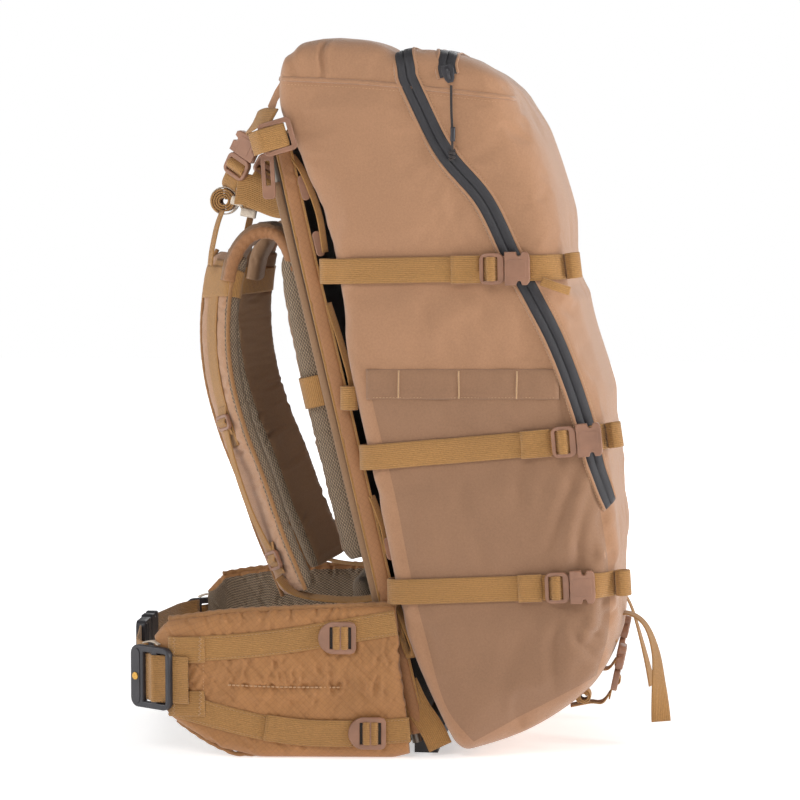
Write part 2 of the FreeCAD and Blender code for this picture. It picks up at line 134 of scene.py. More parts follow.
class Graph:
    """Small helper that adds shader nodes and links them."""

    def __init__(self, name, rough, sheen=0.0):
        self.material = bpy.data.materials.new(name)
        self.material.use_nodes = True
        self.tree = self.material.node_tree
        self.shader = self.tree.nodes["Principled BSDF"]
        self.shader.inputs["Roughness"].default_value = rough
        self.shader.inputs["Sheen Weight"].default_value = sheen
        self.shader.inputs["Sheen Roughness"].default_value = 0.5
        self.place = self.tree.nodes.new("ShaderNodeTexCoord")

    def add(self, kind, **values):
        node = self.tree.nodes.new(kind)
        for key, value in values.items():
            setattr(node, key, value)
        return node

    def link(self, source, target):
        self.tree.links.new(source, target)

    def math(self, operation, a, b=None):
        node = self.add("ShaderNodeMath", operation=operation)
        for index, value in enumerate((a, b)):
            if value is None:
                continue
            if isinstance(value, (int, float)):
                node.inputs[index].default_value = value
            else:
                self.link(value, node.inputs[index])
        return node.outputs[0]

    def uv(self):
        split = self.add("ShaderNodeSeparateXYZ")
        self.link(self.place.outputs["UV"], split.inputs[0])
        return split.outputs[0], split.outputs[1]

    def wave(self, value, pitch):
        return self.math("SINE", self.math("MULTIPLY", value, 2 * math.pi / pitch))

    def noise(self, scale, detail=2.0, stretch=(1, 1, 1)):
        mapping = self.add("ShaderNodeMapping")
        mapping.inputs["Scale"].default_value = stretch
        self.link(self.place.outputs["Object"], mapping.inputs["Vector"])
        node = self.add("ShaderNodeTexNoise")
        node.inputs["Scale"].default_value = scale
        node.inputs["Detail"].default_value = detail
        self.link(mapping.outputs[0], node.inputs["Vector"])
        return node.outputs["Fac"]

    def colour(self, fac, dark, light):
        ramp = self.add("ShaderNodeValToRGB")
        ramp.color_ramp.elements[0].color = dark
        ramp.color_ramp.elements[0].position = 0.3
        ramp.color_ramp.elements[1].color = light
        ramp.color_ramp.elements[1].position = 0.7
        self.link(fac, ramp.inputs[0])
        return ramp.outputs[0]

    def darken(self, colour, fac, amount):
        """Multiply a colour by 1 - amount where fac is 1."""
        mix = self.add("ShaderNodeMix", data_type="RGBA", blend_type="MULTIPLY")
        self.link(fac, mix.inputs[0])
        self.link(colour, mix.inputs[6])
        mix.inputs[7].default_value = (1 - amount, 1 - amount, 1 - amount, 1)
        return mix.outputs[2]

    def finish(self, colour, height, strength, distance):
        self.link(colour, self.shader.inputs["Base Color"])
        bump = self.add("ShaderNodeBump")
        bump.inputs["Strength"].default_value = strength
        bump.inputs["Distance"].default_value = distance
        self.link(height, bump.inputs["Height"])
        self.link(bump.outputs[0], self.shader.inputs["Normal"])
        return self.material


def shade(colour, factor):
    return tuple(min(1.0, c * factor) for c in colour[:3]) + (1.0,)


def cloth(name, colour, pitch, depth=0.0001, rough=0.85, sheen=0.25, spread=0.10, ribs=0.0):
    """Plain woven cloth: threads both ways, with slow and fine colour variation and painted shade
    in the low spots of the weave.
    """
    graph = Graph(name, rough, sheen)
    u, v = graph.uv()
    weave = graph.math("MULTIPLY", graph.wave(u, pitch), graph.wave(v, pitch))
    if ribs:
        rib = graph.wave(v, ribs)
        weave = graph.math("ADD", graph.math("MULTIPLY", weave, 0.5), rib)
    slow = graph.noise(14.0, 3.0)
    fine = graph.noise(520.0, 3.0)
    tone = graph.math("ADD", graph.math("MULTIPLY", slow, 0.4), graph.math("MULTIPLY", fine, 0.6))
    base = graph.colour(tone, shade(colour, 1 - 2 * spread), shade(colour, 1 + 2 * spread))
    # painted shade: the low spots of the weave, where the bump height dips, are darkened by a fifth
    gap = graph.math("MAXIMUM", graph.math("MULTIPLY", weave, -1), 0)
    base = graph.darken(base, gap, 0.2)
    height = graph.math("ADD", weave, graph.math("MULTIPLY", fine, 2.0))
    return graph.finish(base, height, 0.9, depth)


def ripstop(name, colour):
    """Light cloth with a fine diamond grid of thicker threads."""
    graph = Graph(name, 0.62, 0.2)
    u, v = graph.uv()
    diagonal = graph.math("ADD", u, v)
    counter = graph.math("SUBTRACT", u, v)
    lines = graph.math("MAXIMUM", graph.wave(diagonal, 0.0062), graph.wave(counter, 0.0062))
    ridge = graph.math("POWER", graph.math("MAXIMUM", lines, 0), 14)
    slow = graph.noise(20.0, 3.0)
    fine = graph.noise(520.0, 3.0)
    tone = graph.math("ADD", graph.math("MULTIPLY", slow, 0.6), graph.math("MULTIPLY", fine, 0.4))
    base = graph.colour(tone, shade(colour, 0.88), shade(colour, 1.12))
    base = graph.darken(base, ridge, 0.16)
    height = graph.math("ADD", ridge, graph.math("MULTIPLY", fine, 0.5))
    return graph.finish(base, height, 0.5, 0.00015)


def spacer_mesh(name, colour):
    """Open three-dimensional mesh: pale ridges round small holes, the holes darkened as painted
    shade.
    """
    graph = Graph(name, 0.9, 0.1)
    pitch = 0.0046
    u, v = graph.uv()
    first = graph.math("ADD", u, graph.math("MULTIPLY", v, 1.6))
    second = graph.math("SUBTRACT", u, graph.math("MULTIPLY", v, 1.6))
    holes = graph.math("MULTIPLY", graph.wave(first, 2 * pitch), graph.wave(second, 2 * pitch))
    deep = graph.math("MULTIPLY", graph.math("ABSOLUTE", holes), 1.9)
    deep = graph.math("MINIMUM", deep, 1)
    fine = graph.noise(700.0, 2.0)
    base = graph.colour(fine, shade(colour, 0.82), shade(colour, 1.15))
    # painted shade: the pressed-in holes are darkened by about three quarters
    base = graph.darken(base, deep, 0.74)
    return graph.finish(base, graph.math("MULTIPLY", deep, -1), 0.9, 0.0012)


def moulded(name, colour, rough, wear):
    """Moulded plastic with fine grain and slightly lighter rubbed places."""
    graph = Graph(name, rough)
    grain = graph.noise(1400.0, 2.0)
    slow = graph.noise(60.0, 3.0)
    base = graph.colour(slow, shade(colour, 0.88), shade(colour, 1 + wear))
    return graph.finish(base, grain, 0.35, 0.00008)


def anodised(name, colour):
    graph = Graph(name, 0.38)
    graph.shader.inputs["Metallic"].default_value = 1.0
    brushed = graph.noise(900.0, 2.0, (1, 1, 0.03))
    base = graph.colour(brushed, shade(colour, 0.9), shade(colour, 1.1))
    return graph.finish(base, brushed, 0.2, 0.00005)


def make_materials():
    return {
        "bag": cloth("bag_cloth", srgb(171, 126, 92), 0.0011, 0.00007, 0.8, 0.35, 0.05),
        "pocket": cloth("pocket_cloth", srgb(152, 113, 84), 0.0008, 0.00006, 0.85, 0.3, 0.05),
        "webbing": cloth("webbing", srgb(172, 124, 66), 0.0012, 0.00022, 0.72, 0.2, 0.09, 0.0019),
        "binding": cloth("binding_tape", srgb(160, 114, 70), 0.0009, 0.0001, 0.85, 0.2, 0.08),
        "pad": cloth("pad_cloth", srgb(176, 132, 98), 0.001, 0.00008, 0.8, 0.3, 0.06),
        # painted shade: a darker copy of the pad cloth for faces turned away from the light: strap
        # backs, back pads, apex cover, apex lining and rail covers
        "pad_dark": cloth("pad_cloth_dark", srgb(146, 112, 82), 0.001, 0.00008, 0.85, 0.15, 0.06),
        "belt": ripstop("belt_ripstop", srgb(166, 114, 64)),
        "sleeve": ripstop("sleeve_ripstop", srgb(156, 106, 64)),
        "mesh": spacer_mesh("spacer_mesh", srgb(196, 168, 138)),
        "thread": cloth("stitching", srgb(196, 156, 116), 0.0006, 0.00008, 0.7, 0.2, 0.06),
        "elastic": cloth("elastic_cord", srgb(226, 210, 190), 0.0008, 0.00012, 0.8, 0.1, 0.05),
        "zip_tape": cloth("zip_tape", srgb(40, 38, 42), 0.0007, 0.00006, 0.5, 0.1, 0.12),
        "zip_coil": moulded("zip_coil", srgb(28, 26, 30), 0.35, 0.25),
        "cord": cloth("pull_cord", srgb(52, 44, 42), 0.0012, 0.0002, 0.7, 0.1, 0.2),
        "brown": moulded("brown_plastic", srgb(144, 104, 82), 0.36, 0.18),
        "brass": anodised("brass", srgb(206, 160, 84)),
        "black": moulded("black_plastic", srgb(48, 46, 50), 0.42, 0.3),
        "alloy": anodised("frame_alloy", srgb(120, 112, 104)),
        # painted shade: near-black cloth for the sheet behind the bag and the strips in the ladder
        # slots, where only shade shows
        "backing": cloth("backing_cloth", srgb(44, 38, 34), 0.0012, 0.0001, 0.9, 0.1, 0.1),
        "sheet": moulded("frame_sheet", srgb(40, 38, 38), 0.5, 0.2),
    }


CLOTH_STIFFNESS = 12.0
CLOTH_FRAMES = 20


# ---- mesh helpers ------------------------------------------------------------
def add_object(name, mesh, material, body):
    piece = bpy.data.objects.new(name, mesh)
    bpy.context.scene.collection.objects.link(piece)
    if not isinstance(material, (list, tuple)):
        material = [material]
    for item in material:
        mesh.materials.append(MATERIALS[item])
    if body:
        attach(piece, body)
    return piece


def cap_rings(width):
    """Faces that close a ring: one polygon, or strips of quads across a wide one."""
    if width < 60:
        return [list(range(width))]
    half = width // 2
    rings = [[0, 1, width - 1]]
    rings += [[j, j + 1, width - j - 1, width - j] for j in range(1, half - 1)]
    return rings + [[half - 1, half, half + 1]]


def grid(name, rows, material, body, close=False, caps=False):
    """Mesh from rows of points in millimetres, with UVs in metres along both ways."""
    rows = np.asarray(rows, float)
    count, width = rows.shape[:2]
    spans = width if close else width - 1
    faces = []
    corners = []
    for i in range(count - 1):
        for j in range(spans):
            k = (j + 1) % width
            faces.append((i * width + j, i * width + k, (i + 1) * width + k, (i + 1) * width + j))
            corners.append(((i, j), (i, j + 1), (i + 1, j + 1), (i + 1, j)))
    along = np.zeros((count, spans + 1))
    wrapped = np.concatenate([rows, rows[:, :1]], axis=1) if close else rows
    along[:, 1:] = np.cumsum(np.linalg.norm(np.diff(wrapped, axis=1), axis=2), axis=1)
    up = np.zeros(count)
    up[1:] = np.cumsum(np.linalg.norm(np.diff(rows, axis=0), axis=2).mean(axis=1))
    if caps:
        for i, flipped in ((0, True), (count - 1, False)):
            for ring in cap_rings(width):
                ring = ring[::-1] if flipped else ring
                faces.append(tuple(i * width + j for j in ring))
                corners.append([(i, j) for j in ring])
    mesh = bpy.data.meshes.new(name)
    mesh.from_pydata((rows.reshape(-1, 3) * MM).tolist(), [], faces)
    layer = mesh.uv_layers.new(name="UVMap")
    uvs = [(up[i] * MM, along[i, j] * MM) for face in corners for i, j in face]
    layer.data.foreach_set("uv", np.asarray(uvs).ravel())
    mesh.polygons.foreach_set("use_smooth", [True] * len(mesh.polygons))
    mesh.update()
    piece = add_object(name, mesh, material, body)
    if close and caps:
        turn_outward(piece)
    return piece


def turn_outward(piece):
    """Flip a closed mesh whose faces look inward."""
    mesh = piece.data
    volume = 0.0
    for face in mesh.polygons:
        volume += face.center.dot(face.normal) * face.area
    if volume < 0:
        mesh.flip_normals()


def unit(vectors):
    return vectors / np.maximum(np.linalg.norm(vectors, axis=-1, keepdims=True), 1e-9)


def curve(points, step=4.0):
    """Smooth line through points, sampled about every step millimetres."""
    points = np.asarray(points, float)
    extended = np.vstack([2 * points[0] - points[1], points, 2 * points[-1] - points[-2]])
    out = []
    for i in range(1, len(extended) - 2):
        p0, p1, p2, p3 = extended[i - 1:i + 3]
        length = np.linalg.norm((p2 - p1)[:3])
        parts = max(1, int(round(length / step)))
        for t in np.arange(parts) / parts:
            out.append(0.5 * (2 * p1 + (p2 - p0) * t + (2 * p0 - 5 * p1 + 4 * p2 - p3) * t ** 2
                              + (3 * p1 - p0 - 3 * p2 + p3) * t ** 3))
    out.append(points[-1])
    return np.asarray(out)


def tangents(path):
    return unit(np.gradient(path, axis=0))


def sweep(name, path, normals, profile, material, body, caps=True):
    """Closed profile of (across, outward) points carried along a path."""
    path = np.asarray(path, float)
    normals = np.broadcast_to(np.asarray(normals, float), path.shape)
    run = tangents(path)
    across = unit(np.cross(run, normals))
    outward = unit(np.cross(across, run))
    profile = np.asarray(profile, float)
    if profile.ndim == 2:
        profile = np.broadcast_to(profile, (len(path),) + profile.shape)
    rows = (path[:, None] + across[:, None] * profile[:, :, :1]
            + outward[:, None] * profile[:, :, 1:])
    return grid(name, rows, material, body, close=True, caps=caps)


def flat_profile(width, thick):
    """Webbing section: flat, with soft edges, its lower face at zero."""
    half = width / 2
    soft = min(0.35 * thick, 0.6)
    xs = np.linspace(-half + soft, half - soft, 5)
    low = [(x, 0.0) for x in xs]
    high = [(x, thick) for x in xs[::-1]]
    right = [(half, soft), (half, thick - soft)]
    return low + right + high + [(-u, v) for u, v in right[::-1]]


def round_profile(radius, count=10):
    angles = np.arange(count) / count * 2 * math.pi
    return [(radius * math.cos(a), radius * math.sin(a)) for a in angles]


def pad_profile(width, thick, count=28, power=0.55):
    """Rounded, crowned section of a padded strap, centred on the path."""
    angles = np.arange(count) / count * 2 * math.pi
    cos, sin = np.cos(angles), np.sin(angles)
    xs = np.sign(cos) * np.abs(cos) ** power * width / 2
    ys = np.sign(sin) * np.abs(sin) ** 0.8 * thick / 2
    return np.stack([xs, ys], axis=1)


def leaned(points):
    """(height above the frame, depth, length along the frame) to row axes, in millimetres."""
    points = np.asarray(points, float)
    n, y, s = points[..., 0], points[..., 1], points[..., 2]
    return np.stack([n * math.cos(LEAN) - s * math.sin(LEAN), y,
                     n * math.sin(LEAN) + s * math.cos(LEAN)], axis=-1)


def subdivide(piece):
    modifier = piece.modifiers.new("soften", "SUBSURF")
    modifier.levels = 1
    modifier.render_levels = 1
    modifier.uv_smooth = "NONE"
    bake(piece)


def bake(piece):
    """Apply every modifier, so that the mesh is the finished shape."""
    graph = bpy.context.evaluated_depsgraph_get()
    mesh = bpy.data.meshes.new_from_object(piece.evaluated_get(graph))
    old = piece.data
    piece.modifiers.clear()
    piece.data = mesh
    bpy.data.meshes.remove(old)


def soften(path, times=2):
    path = np.array(path, float)
    for _ in range(times):
        path[1:-1] = (path[:-2] + 2 * path[1:-1] + path[2:]) / 4
    return path


def mirror_set(points, sign):
    return np.asarray(points, float) * (1, 1 if sign < 0 else -1, 1)


def flip_side(piece, sign):
    """Turn a piece modelled for the left side into the right-hand one."""
    if sign > 0:
        piece.data.transform(Matrix.Scale(-1, 4, (0, 1, 0)))
        piece.data.flip_normals()
    return piece


def paint(piece, width, columns, index):
    """Give the chosen columns of a grid piece another of its materials."""
    for polygon in piece.data.polygons:
        if polygon.index % width in columns:
            polygon.material_index = index


def axes(origin, along, outward):
    """Matrix from (along, across, outward) in millimetres to the row, in metres."""
    u = Vector(along).normalized()
    w = Vector(outward)
    w = (w - u * w.dot(u)).normalized()
    v = w.cross(u)
    turn = Matrix((u, v, w)).transposed().to_4x4()
    return Matrix.Translation(Vector(origin) * MM) @ turn


def rounded_box(u0, u1, v0, v1, radius, grow=0.0, count=5):
    """Rectangle with round corners as a closed outline."""
    u0, u1, v0, v1 = u0 - grow, u1 + grow, v0 - grow, v1 + grow
    radius = min(radius, (u1 - u0) / 2 - 0.01, (v1 - v0) / 2 - 0.01)
    corners = [(u1 - radius, v1 - radius, 0), (u0 + radius, v1 - radius, 90),
               (u0 + radius, v0 + radius, 180), (u1 - radius, v0 + radius, 270)]
    loop = []
    for cu, cv, start in corners:
        for step in range(count):
            angle = math.radians(start + 90 * step / (count - 1))
            loop.append((cu + radius * math.cos(angle), cv + radius * math.sin(angle)))
    return loop


def plate(name, loops, low, high, soft, place, material, body, sign=-1):
    """Moulded part: outline and holes extruded from low to high, with round edges."""
    data = bpy.data.curves.new(name, "CURVE")
    data.dimensions = "2D"
    data.fill_mode = "BOTH"
    data.extrude = ((high - low) / 2 - soft) * MM
    data.bevel_depth = soft * MM
    data.bevel_resolution = 2
    for loop in loops:
        spline = data.splines.new("POLY")
        spline.points.add(len(loop) - 1)
        for point, (u, v) in zip(spline.points, loop):
            point.co = (u * MM, v * MM, 0, 1)
        spline.use_cyclic_u = True
    shape = bpy.data.objects.new(name, data)
    bpy.context.scene.collection.objects.link(shape)
    graph = bpy.context.evaluated_depsgraph_get()
    mesh = bpy.data.meshes.new_from_object(shape.evaluated_get(graph))
    bpy.data.objects.remove(shape)
    bpy.data.curves.remove(data)
    mesh.materials.clear()
    mesh.transform(place @ Matrix.Translation((0, 0, (high + low) / 2 * MM)))
    return flip_side(add_object(name, mesh, material, body), sign)


def join(name, pieces):
    """Merge small parts of one material into one object."""
    first = pieces[0]
    with bpy.context.temp_override(active_object=first, object=first,
                                   selected_objects=pieces, selected_editable_objects=pieces):
        bpy.ops.object.join()
    first.name = name
    return first


def placed_sweep(name, route, width, thick, place, material, body, sign, step=1.2):
    """Webbing whose route is drawn as (along, outward) in the axes of a fitting."""
    flat = curve([(u, 0.0, w) for u, w in route], step)
    run = tangents(flat)
    normals = np.cross(run, np.array([0.0, 1.0, 0.0]))
    strap = sweep(name, flat, normals, flat_profile(width, thick), material, body)
    strap.data.transform(place)
    return flip_side(strap, sign)


def lengths_of(path):
    return np.concatenate([[0], np.cumsum(np.linalg.norm(np.diff(path, axis=0), axis=1))])


def at_length(path, lengths, at):
    return np.array([np.interp(at, lengths, path[:, k]) for k in range(3)])


def stitches(name, path, normals, body="pack", length=3.0, gap=1.6, radius=0.33):
    """Broken row of short raised threads along a path, in one mesh."""
    path = np.asarray(path, float)
    normals = np.broadcast_to(np.asarray(normals, float), path.shape)
    lengths = lengths_of(path)
    verts, faces = [], []
    for at in np.arange(0.5, lengths[-1] - length, length + gap):
        places = [at_length(path, lengths, at + length * k / 3) for k in range(4)]
        normal = unit(at_length(normals, lengths, at))
        across = np.cross(unit(places[-1] - places[0]), normal)
        base = len(verts)
        for place, rise, size in zip(places, (-0.1, 0.3, 0.3, -0.1), (0.6, 1, 1, 0.6)):
            for turn in range(5):
                angle = turn / 5 * 2 * math.pi
                offset = across * math.cos(angle) + normal * math.sin(angle)
                verts.append((place + normal * rise + offset * radius * size) * MM)
        for ring in range(3):
            for turn in range(5):
                beside = (turn + 1) % 5
                faces.append((base + ring * 5 + turn, base + ring * 5 + beside,
                              base + ring * 5 + 5 + beside, base + ring * 5 + 5 + turn))
    mesh = bpy.data.meshes.new(name)
    mesh.from_pydata(verts, [], faces)
    mesh.polygons.foreach_set("use_smooth", [True] * len(mesh.polygons))
    mesh.update()
    return add_object(name, mesh, "thread", body)


def inflate(piece, hold, pressure, cap, shrink=-0.012):
    """Let the cloth swell and wrinkle between held places, then keep the result."""
    rest = np.empty(len(piece.data.vertices) * 3)
    piece.data.vertices.foreach_get("co", rest)
    group = piece.vertex_groups.new(name="held")
    for index, share in enumerate(hold):
        group.add([index], float(share), "REPLACE")
    modifier = piece.modifiers.new("cloth", "CLOTH")
    settings = modifier.settings
    settings.quality = 5
    settings.mass = 0.25
    settings.tension_stiffness = CLOTH_STIFFNESS
    settings.compression_stiffness = CLOTH_STIFFNESS
    settings.bending_stiffness = 0.4
    settings.use_pressure = True
    settings.uniform_pressure_force = pressure
    settings.vertex_group_mass = "held"
    settings.pin_stiffness = 1.0
    settings.shrink_min = shrink
    settings.shrink_max = shrink
    settings.effector_weights.gravity = 0.0
    modifier.collision_settings.use_collision = False
    modifier.point_cache.frame_end = CLOTH_FRAMES
    scene = bpy.context.scene
    for step in range(1, CLOTH_FRAMES + 1):
        scene.frame_set(step)
    graph = bpy.context.evaluated_depsgraph_get()
    swollen = bpy.data.meshes.new_from_object(piece.evaluated_get(graph))
    moved = np.empty_like(rest)
    swollen.vertices.foreach_get("co", moved)
    bpy.data.meshes.remove(swollen)
    piece.modifiers.clear()
    piece.vertex_groups.clear()
    shift = (moved - rest).reshape(-1, 3)
    size = np.linalg.norm(shift, axis=1, keepdims=True)
    shift = shift * np.minimum(1, cap * MM / np.maximum(size, 1e-9))
    piece.data.vertices.foreach_set("co", (rest.reshape(-1, 3) + shift).ravel())
    piece.data.update()
    scene.frame_set(1)


def spiral(centre, first, last, turns, start, plane):
    """Points of a flat roll and their outward normals; plane is (right, up) unit vectors."""
    right, up = (np.asarray(v, float) for v in plane)
    angles = start + np.linspace(0, turns * 2 * math.pi, int(turns * 26))
    radii = np.linspace(first, last, len(angles))
    outward = np.cos(angles)[:, None] * right + np.sin(angles)[:, None] * up
    return np.asarray(centre) + outward * radii[:, None], outward


# ---- pairs of pieces ------------------------------------------------------------
def both(piece, body, node=""):
    """Finish a left-hand piece and add its mirror image on the right."""
    other = bpy.data.objects.new(piece.name.replace("left", "right"), piece.data.copy())
    bpy.context.scene.collection.objects.link(other)
    flip_side(other, 1)
    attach(other, body.replace("left", "right"))
    if node:
        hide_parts(node)
        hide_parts(node.replace("left", "right"))
    return piece, other


def pair(name, path, normals, profile, material, body="pack", node=""):
    """Swept piece on the left, with its mirror image on the right."""
    return both(sweep(name, path, normals, profile, material, body), body, node)


def plate_pair(name, loops, low, high, soft, place, material, body="pack", node=""):
    """Moulded piece on the left, with its mirror image on the right."""
    return both(plate(name, loops, low, high, soft, place, material, body), body, node)


def placed_pair(name, route, width, thick, place, material, body="pack", node=""):
    """Webbing in a fitting on the left, with its mirror image on the right."""
    strap = placed_sweep(name, route, width, thick, place, material, body, -1)
    return both(strap, body, node)


def crease_depth(flat, creases):
    """Depth of soft creases at flat points: a groove with a low ridge each side."""
    depth = np.zeros(len(flat))
    for start, end, deep, width in creases:
        start, end = np.asarray(start, float), np.asarray(end, float)
        t = ((flat - start) @ (end - start)) / ((end - start) @ (end - start))
        reach = np.sin(np.clip(t, 0, 1) * math.pi) ** 0.6
        off = np.cross(unit(end - start), flat - start) + 3 * np.sin(t * 5)
        ridge = np.exp(-((np.abs(off) - 1.7 * width) / width) ** 2)
        depth += reach * deep * (np.exp(-(off / width) ** 2) - 0.7 * ridge)
    return depth


def wrinkles(seed, count, box, length, deep, width, slant):
    """Scattered short creases inside a flat box, all leaning about the same way."""
    rng = np.random.default_rng(seed)
    out = []
    for _ in range(count):
        x, z = rng.uniform(box[0], box[1]), rng.uniform(box[2], box[3])
        angle = math.radians(rng.normal(slant, 22))
        reach = length * rng.uniform(0.5, 1.3)
        end = (x + reach * math.cos(angle), z + reach * math.sin(angle))
        out.append(((x, z), end, deep * rng.uniform(0.4, 1.2), width * rng.uniform(0.7, 1.4)))
    return out


def press(piece, creases, plane, share=None):
    """Push creases drawn in one plane into a mesh, along its own normals."""
    mesh = piece.data
    count = len(mesh.vertices)
    points, normals = np.empty(count * 3), np.empty(count * 3)
    mesh.vertices.foreach_get("co", points)
    mesh.vertices.foreach_get("normal", normals)
    points, normals = points.reshape(-1, 3), normals.reshape(-1, 3)
    depth = crease_depth(points[:, plane] / MM, creases)
    if share is not None:
        depth = depth * share(points / MM)
    points -= normals * (depth * MM)[:, None]
    mesh.vertices.foreach_set("co", points.ravel())
    mesh.update()


# ---- bag ---------------------------------------------------------------------
BAG_HALF = 165.0
# rear and front edge of the bag at heights up the frame: (share of height, n, s, n, s)
BAG_STATIONS = [(0.0, 36, -4, 204, 40), (0.17, 15, 118, 236, 125), (0.39, 19, 285, 263, 270),
                (0.55, 22, 410, 259, 385), (0.62, 31, 470, 261, 425), (0.72, 35, 545, 266, 495),
                (0.8, 26, 606, 264, 545), (0.87, 17, 655, 260, 585), (0.92, 17, 680, 256, 610),
                (0.965, 27, 710, 252, 632), (1.0, 46, 728, 246, 648)]
ZIPPER_LINE = [(149, 700), (147, 671), (165, 591), (193, 533), (207, 470), (218, 427),
               (228, 385), (234, 345), (238, 300), (239, 250), (243, 208)]
FOLD_LINE = [(243, 208), (236, 140), (222, 84)]
COLLAR_SEAM = [(22, 698), (120, 668), (246, 622)]
STRAPS = [("upper", -106, 492, 140, 497, 82), ("middle", -66, 305, 190, 329, 154),
          ("lower", -38, 170, 172, 180, 148)]
HEM_TOP = 394.0
BAG_HEIGHT = 700.0
EDGE_FRONT = 26.0
EDGE_BACK = 14.0
EDGE_END = 22.0
FRONT_CROWN = 12.0
DOME_FROM = 600.0
# soft creases on each side: (x, z) start, (x, z) end, depth, width
CREASES = [((168, 315), (120, 205), 2.4, 7), ((176, 300), (150, 200), 2.6, 6),
           ((184, 305), (166, 190), 2.2, 6), ((150, 145), (178, 96), 3.2, 6),
           ((160, 150), (176, 118), 2.6, 5), ((140, 150), (128, 70), 2.0, 7),
           ((118, 152), (70, 60), 1.3, 10), ((96, 505), (60, 590), 1.0, 14),
           ((60, 487), (-20, 440), 1.0, 12), ((110, 485), (130, 430), 1.6, 8),
           ((125, 482), (150, 440), 1.8, 8), ((-60, 640), (-40, 560), 0.8, 12),
           ((20, 665), (-5, 610), 1.0, 10), ((-118, 640), (-135, 560), 1.2, 9),
           ((-30, 300), (-10, 230), 0.9, 12), ((30, 315), (40, 250), 0.8, 12),
           ((112, 320), (90, 250), 1.5, 8), ((0, 165), (20, 90), 1.0, 12),
           ((-90, 480), (-80, 430), 0.9, 9), ((-20, 165), (-2, 120), 1.2, 8),
           ((-96, 724), (-104, 684), 3.0, 3), ((-128, 722), (-132, 684), 1.4, 4),
           ((-60, 300), (-40, 250), 1.6, 6), ((-70, 285), (-58, 200), 1.4, 6),
           ((183, 263), (184, 190), 4.2, 5), ((184, 190), (188, 100), 3.4, 6),
           ((178, 255), (166, 205), 2.4, 6), ((186, 170), (170, 120), 2.6, 6),
           ((158, 250), (160, 185), 1.8, 7), ((166, 225), (140, 150), 2.2, 8)]


def section_half(length, inset):
    """Left half of a bag section, from the middle of the back to the middle of the front."""
    back, front = inset * 0.4, length - inset
    half = BAG_HALF - inset
    rb = max(EDGE_BACK - 0.3 * inset, 4)
    rf = max(EDGE_FRONT - 0.5 * inset, 6)
    points = [(back, -y) for y in np.linspace(0, half - rb, 16)[:-1]]
    for angle in np.linspace(0, math.pi / 2, 5)[:-1]:
        points.append((back + rb * (1 - math.cos(angle)), -(half - rb + rb * math.sin(angle))))
    flat_end = front - rf - FRONT_CROWN
    points += [(a, -half) for a in np.linspace(back + rb, flat_end, 36)[:-1]]
    for angle in np.linspace(0, math.pi / 2, 12)[:-1]:
        points.append((flat_end + rf * math.sin(angle), -(half - rf + rf * math.cos(angle))))
    points += [(front - rf - FRONT_CROWN + rf, -y) for y in np.linspace(half - rf, 0, 16)]
    points = np.asarray(points)
    swell = np.clip((points[:, 0] - flat_end) / rf, 0, 1)
    points[:, 0] += FRONT_CROWN * swell * np.cos(points[:, 1] / half * math.pi / 2) ** 0.8
    return points


def bag_row(station, inset, squeeze, top, bottom):
    """One closed row of bag points; squeeze draws it in to its middle on the end panels."""
    bn, bs, fn, fs = station
    along = np.array([fn - bn, fs - bs])
    length = np.linalg.norm(along)
    along = along / length
    upward = np.array([-along[1], along[0]])
    half = section_half(length, inset)
    whole = np.vstack([half, (half * (1, -1))[-2:0:-1]])
    middle = np.array([length / 2, 0])
    whole = middle + (whole - middle) * squeeze
    share = np.clip(whole[:, 0] / length, 0, 1)
    crown = 13 * np.sin(math.pi * share ** 0.9) ** 0.8 - 7 * np.exp(-((share - 0.47) / 0.05) ** 2)
    lift = top * crown - bottom * 8 * np.sin(math.pi * share)
    n = bn + along[0] * whole[:, 0] + upward[0] * lift
    s = bs + along[1] * whole[:, 0] + upward[1] * lift
    return np.stack([n, whole[:, 1], s], axis=1)


def bag_rows():
    keys = np.asarray(BAG_STATIONS, float)
    fine = curve(np.column_stack([keys[:, 0] * BAG_HEIGHT, keys[:, 1:]]), 5.0)

    def at(height):
        return [np.interp(height, fine[:, 0], fine[:, k]) for k in range(1, 5)]

    rows = []
    ends = np.linspace(0.05, 1.0, 14)
    for squeeze in ends[:-1]:
        rows.append(bag_row(at(0), EDGE_END, squeeze, 0, 1))
    turns = np.linspace(0, math.pi / 2, 7)
    for angle in turns[:-1]:
        low = EDGE_END * (1 - math.cos(angle))
        rows.append(bag_row(at(low), EDGE_END * (1 - math.sin(angle)), 1, 0, 1 - angle / 1.6))
    for height in np.arange(EDGE_END, BAG_HEIGHT - EDGE_END + 1, 5.0):
        top = max(0.0, (height - DOME_FROM) / (BAG_HEIGHT - EDGE_END - DOME_FROM)) ** 1.3
        rows.append(bag_row(at(height), 0, 1, top, 0))
    for angle in turns[1:]:
        high = BAG_HEIGHT - EDGE_END * (1 - math.sin(angle))
        rows.append(bag_row(at(high), EDGE_END * (1 - math.cos(angle)), 1, 1, 0))
    for squeeze in ends[::-1][1:]:
        rows.append(bag_row(at(BAG_HEIGHT), EDGE_END, squeeze, 1, 0))
    return leaned(np.asarray(rows))


def distance_to_line(points, line):
    """Shortest distance from each flat point to a run of segments."""
    best = np.full(len(points), 1e9)
    for a, b in zip(line[:-1], line[1:]):
        a, b = np.asarray(a, float), np.asarray(b, float)
        t = np.clip(((points - a) @ (b - a)) / ((b - a) @ (b - a)), 0, 1)
        best = np.minimum(best, np.linalg.norm(points - (a + t[:, None] * (b - a)), axis=1))
    return best


def side_line(points):
    """Line drawn as (above the frame, along it), turned into the row's X and Z."""
    return leaned([(n, 0, s) for n, s in points])[:, [0, 2]]


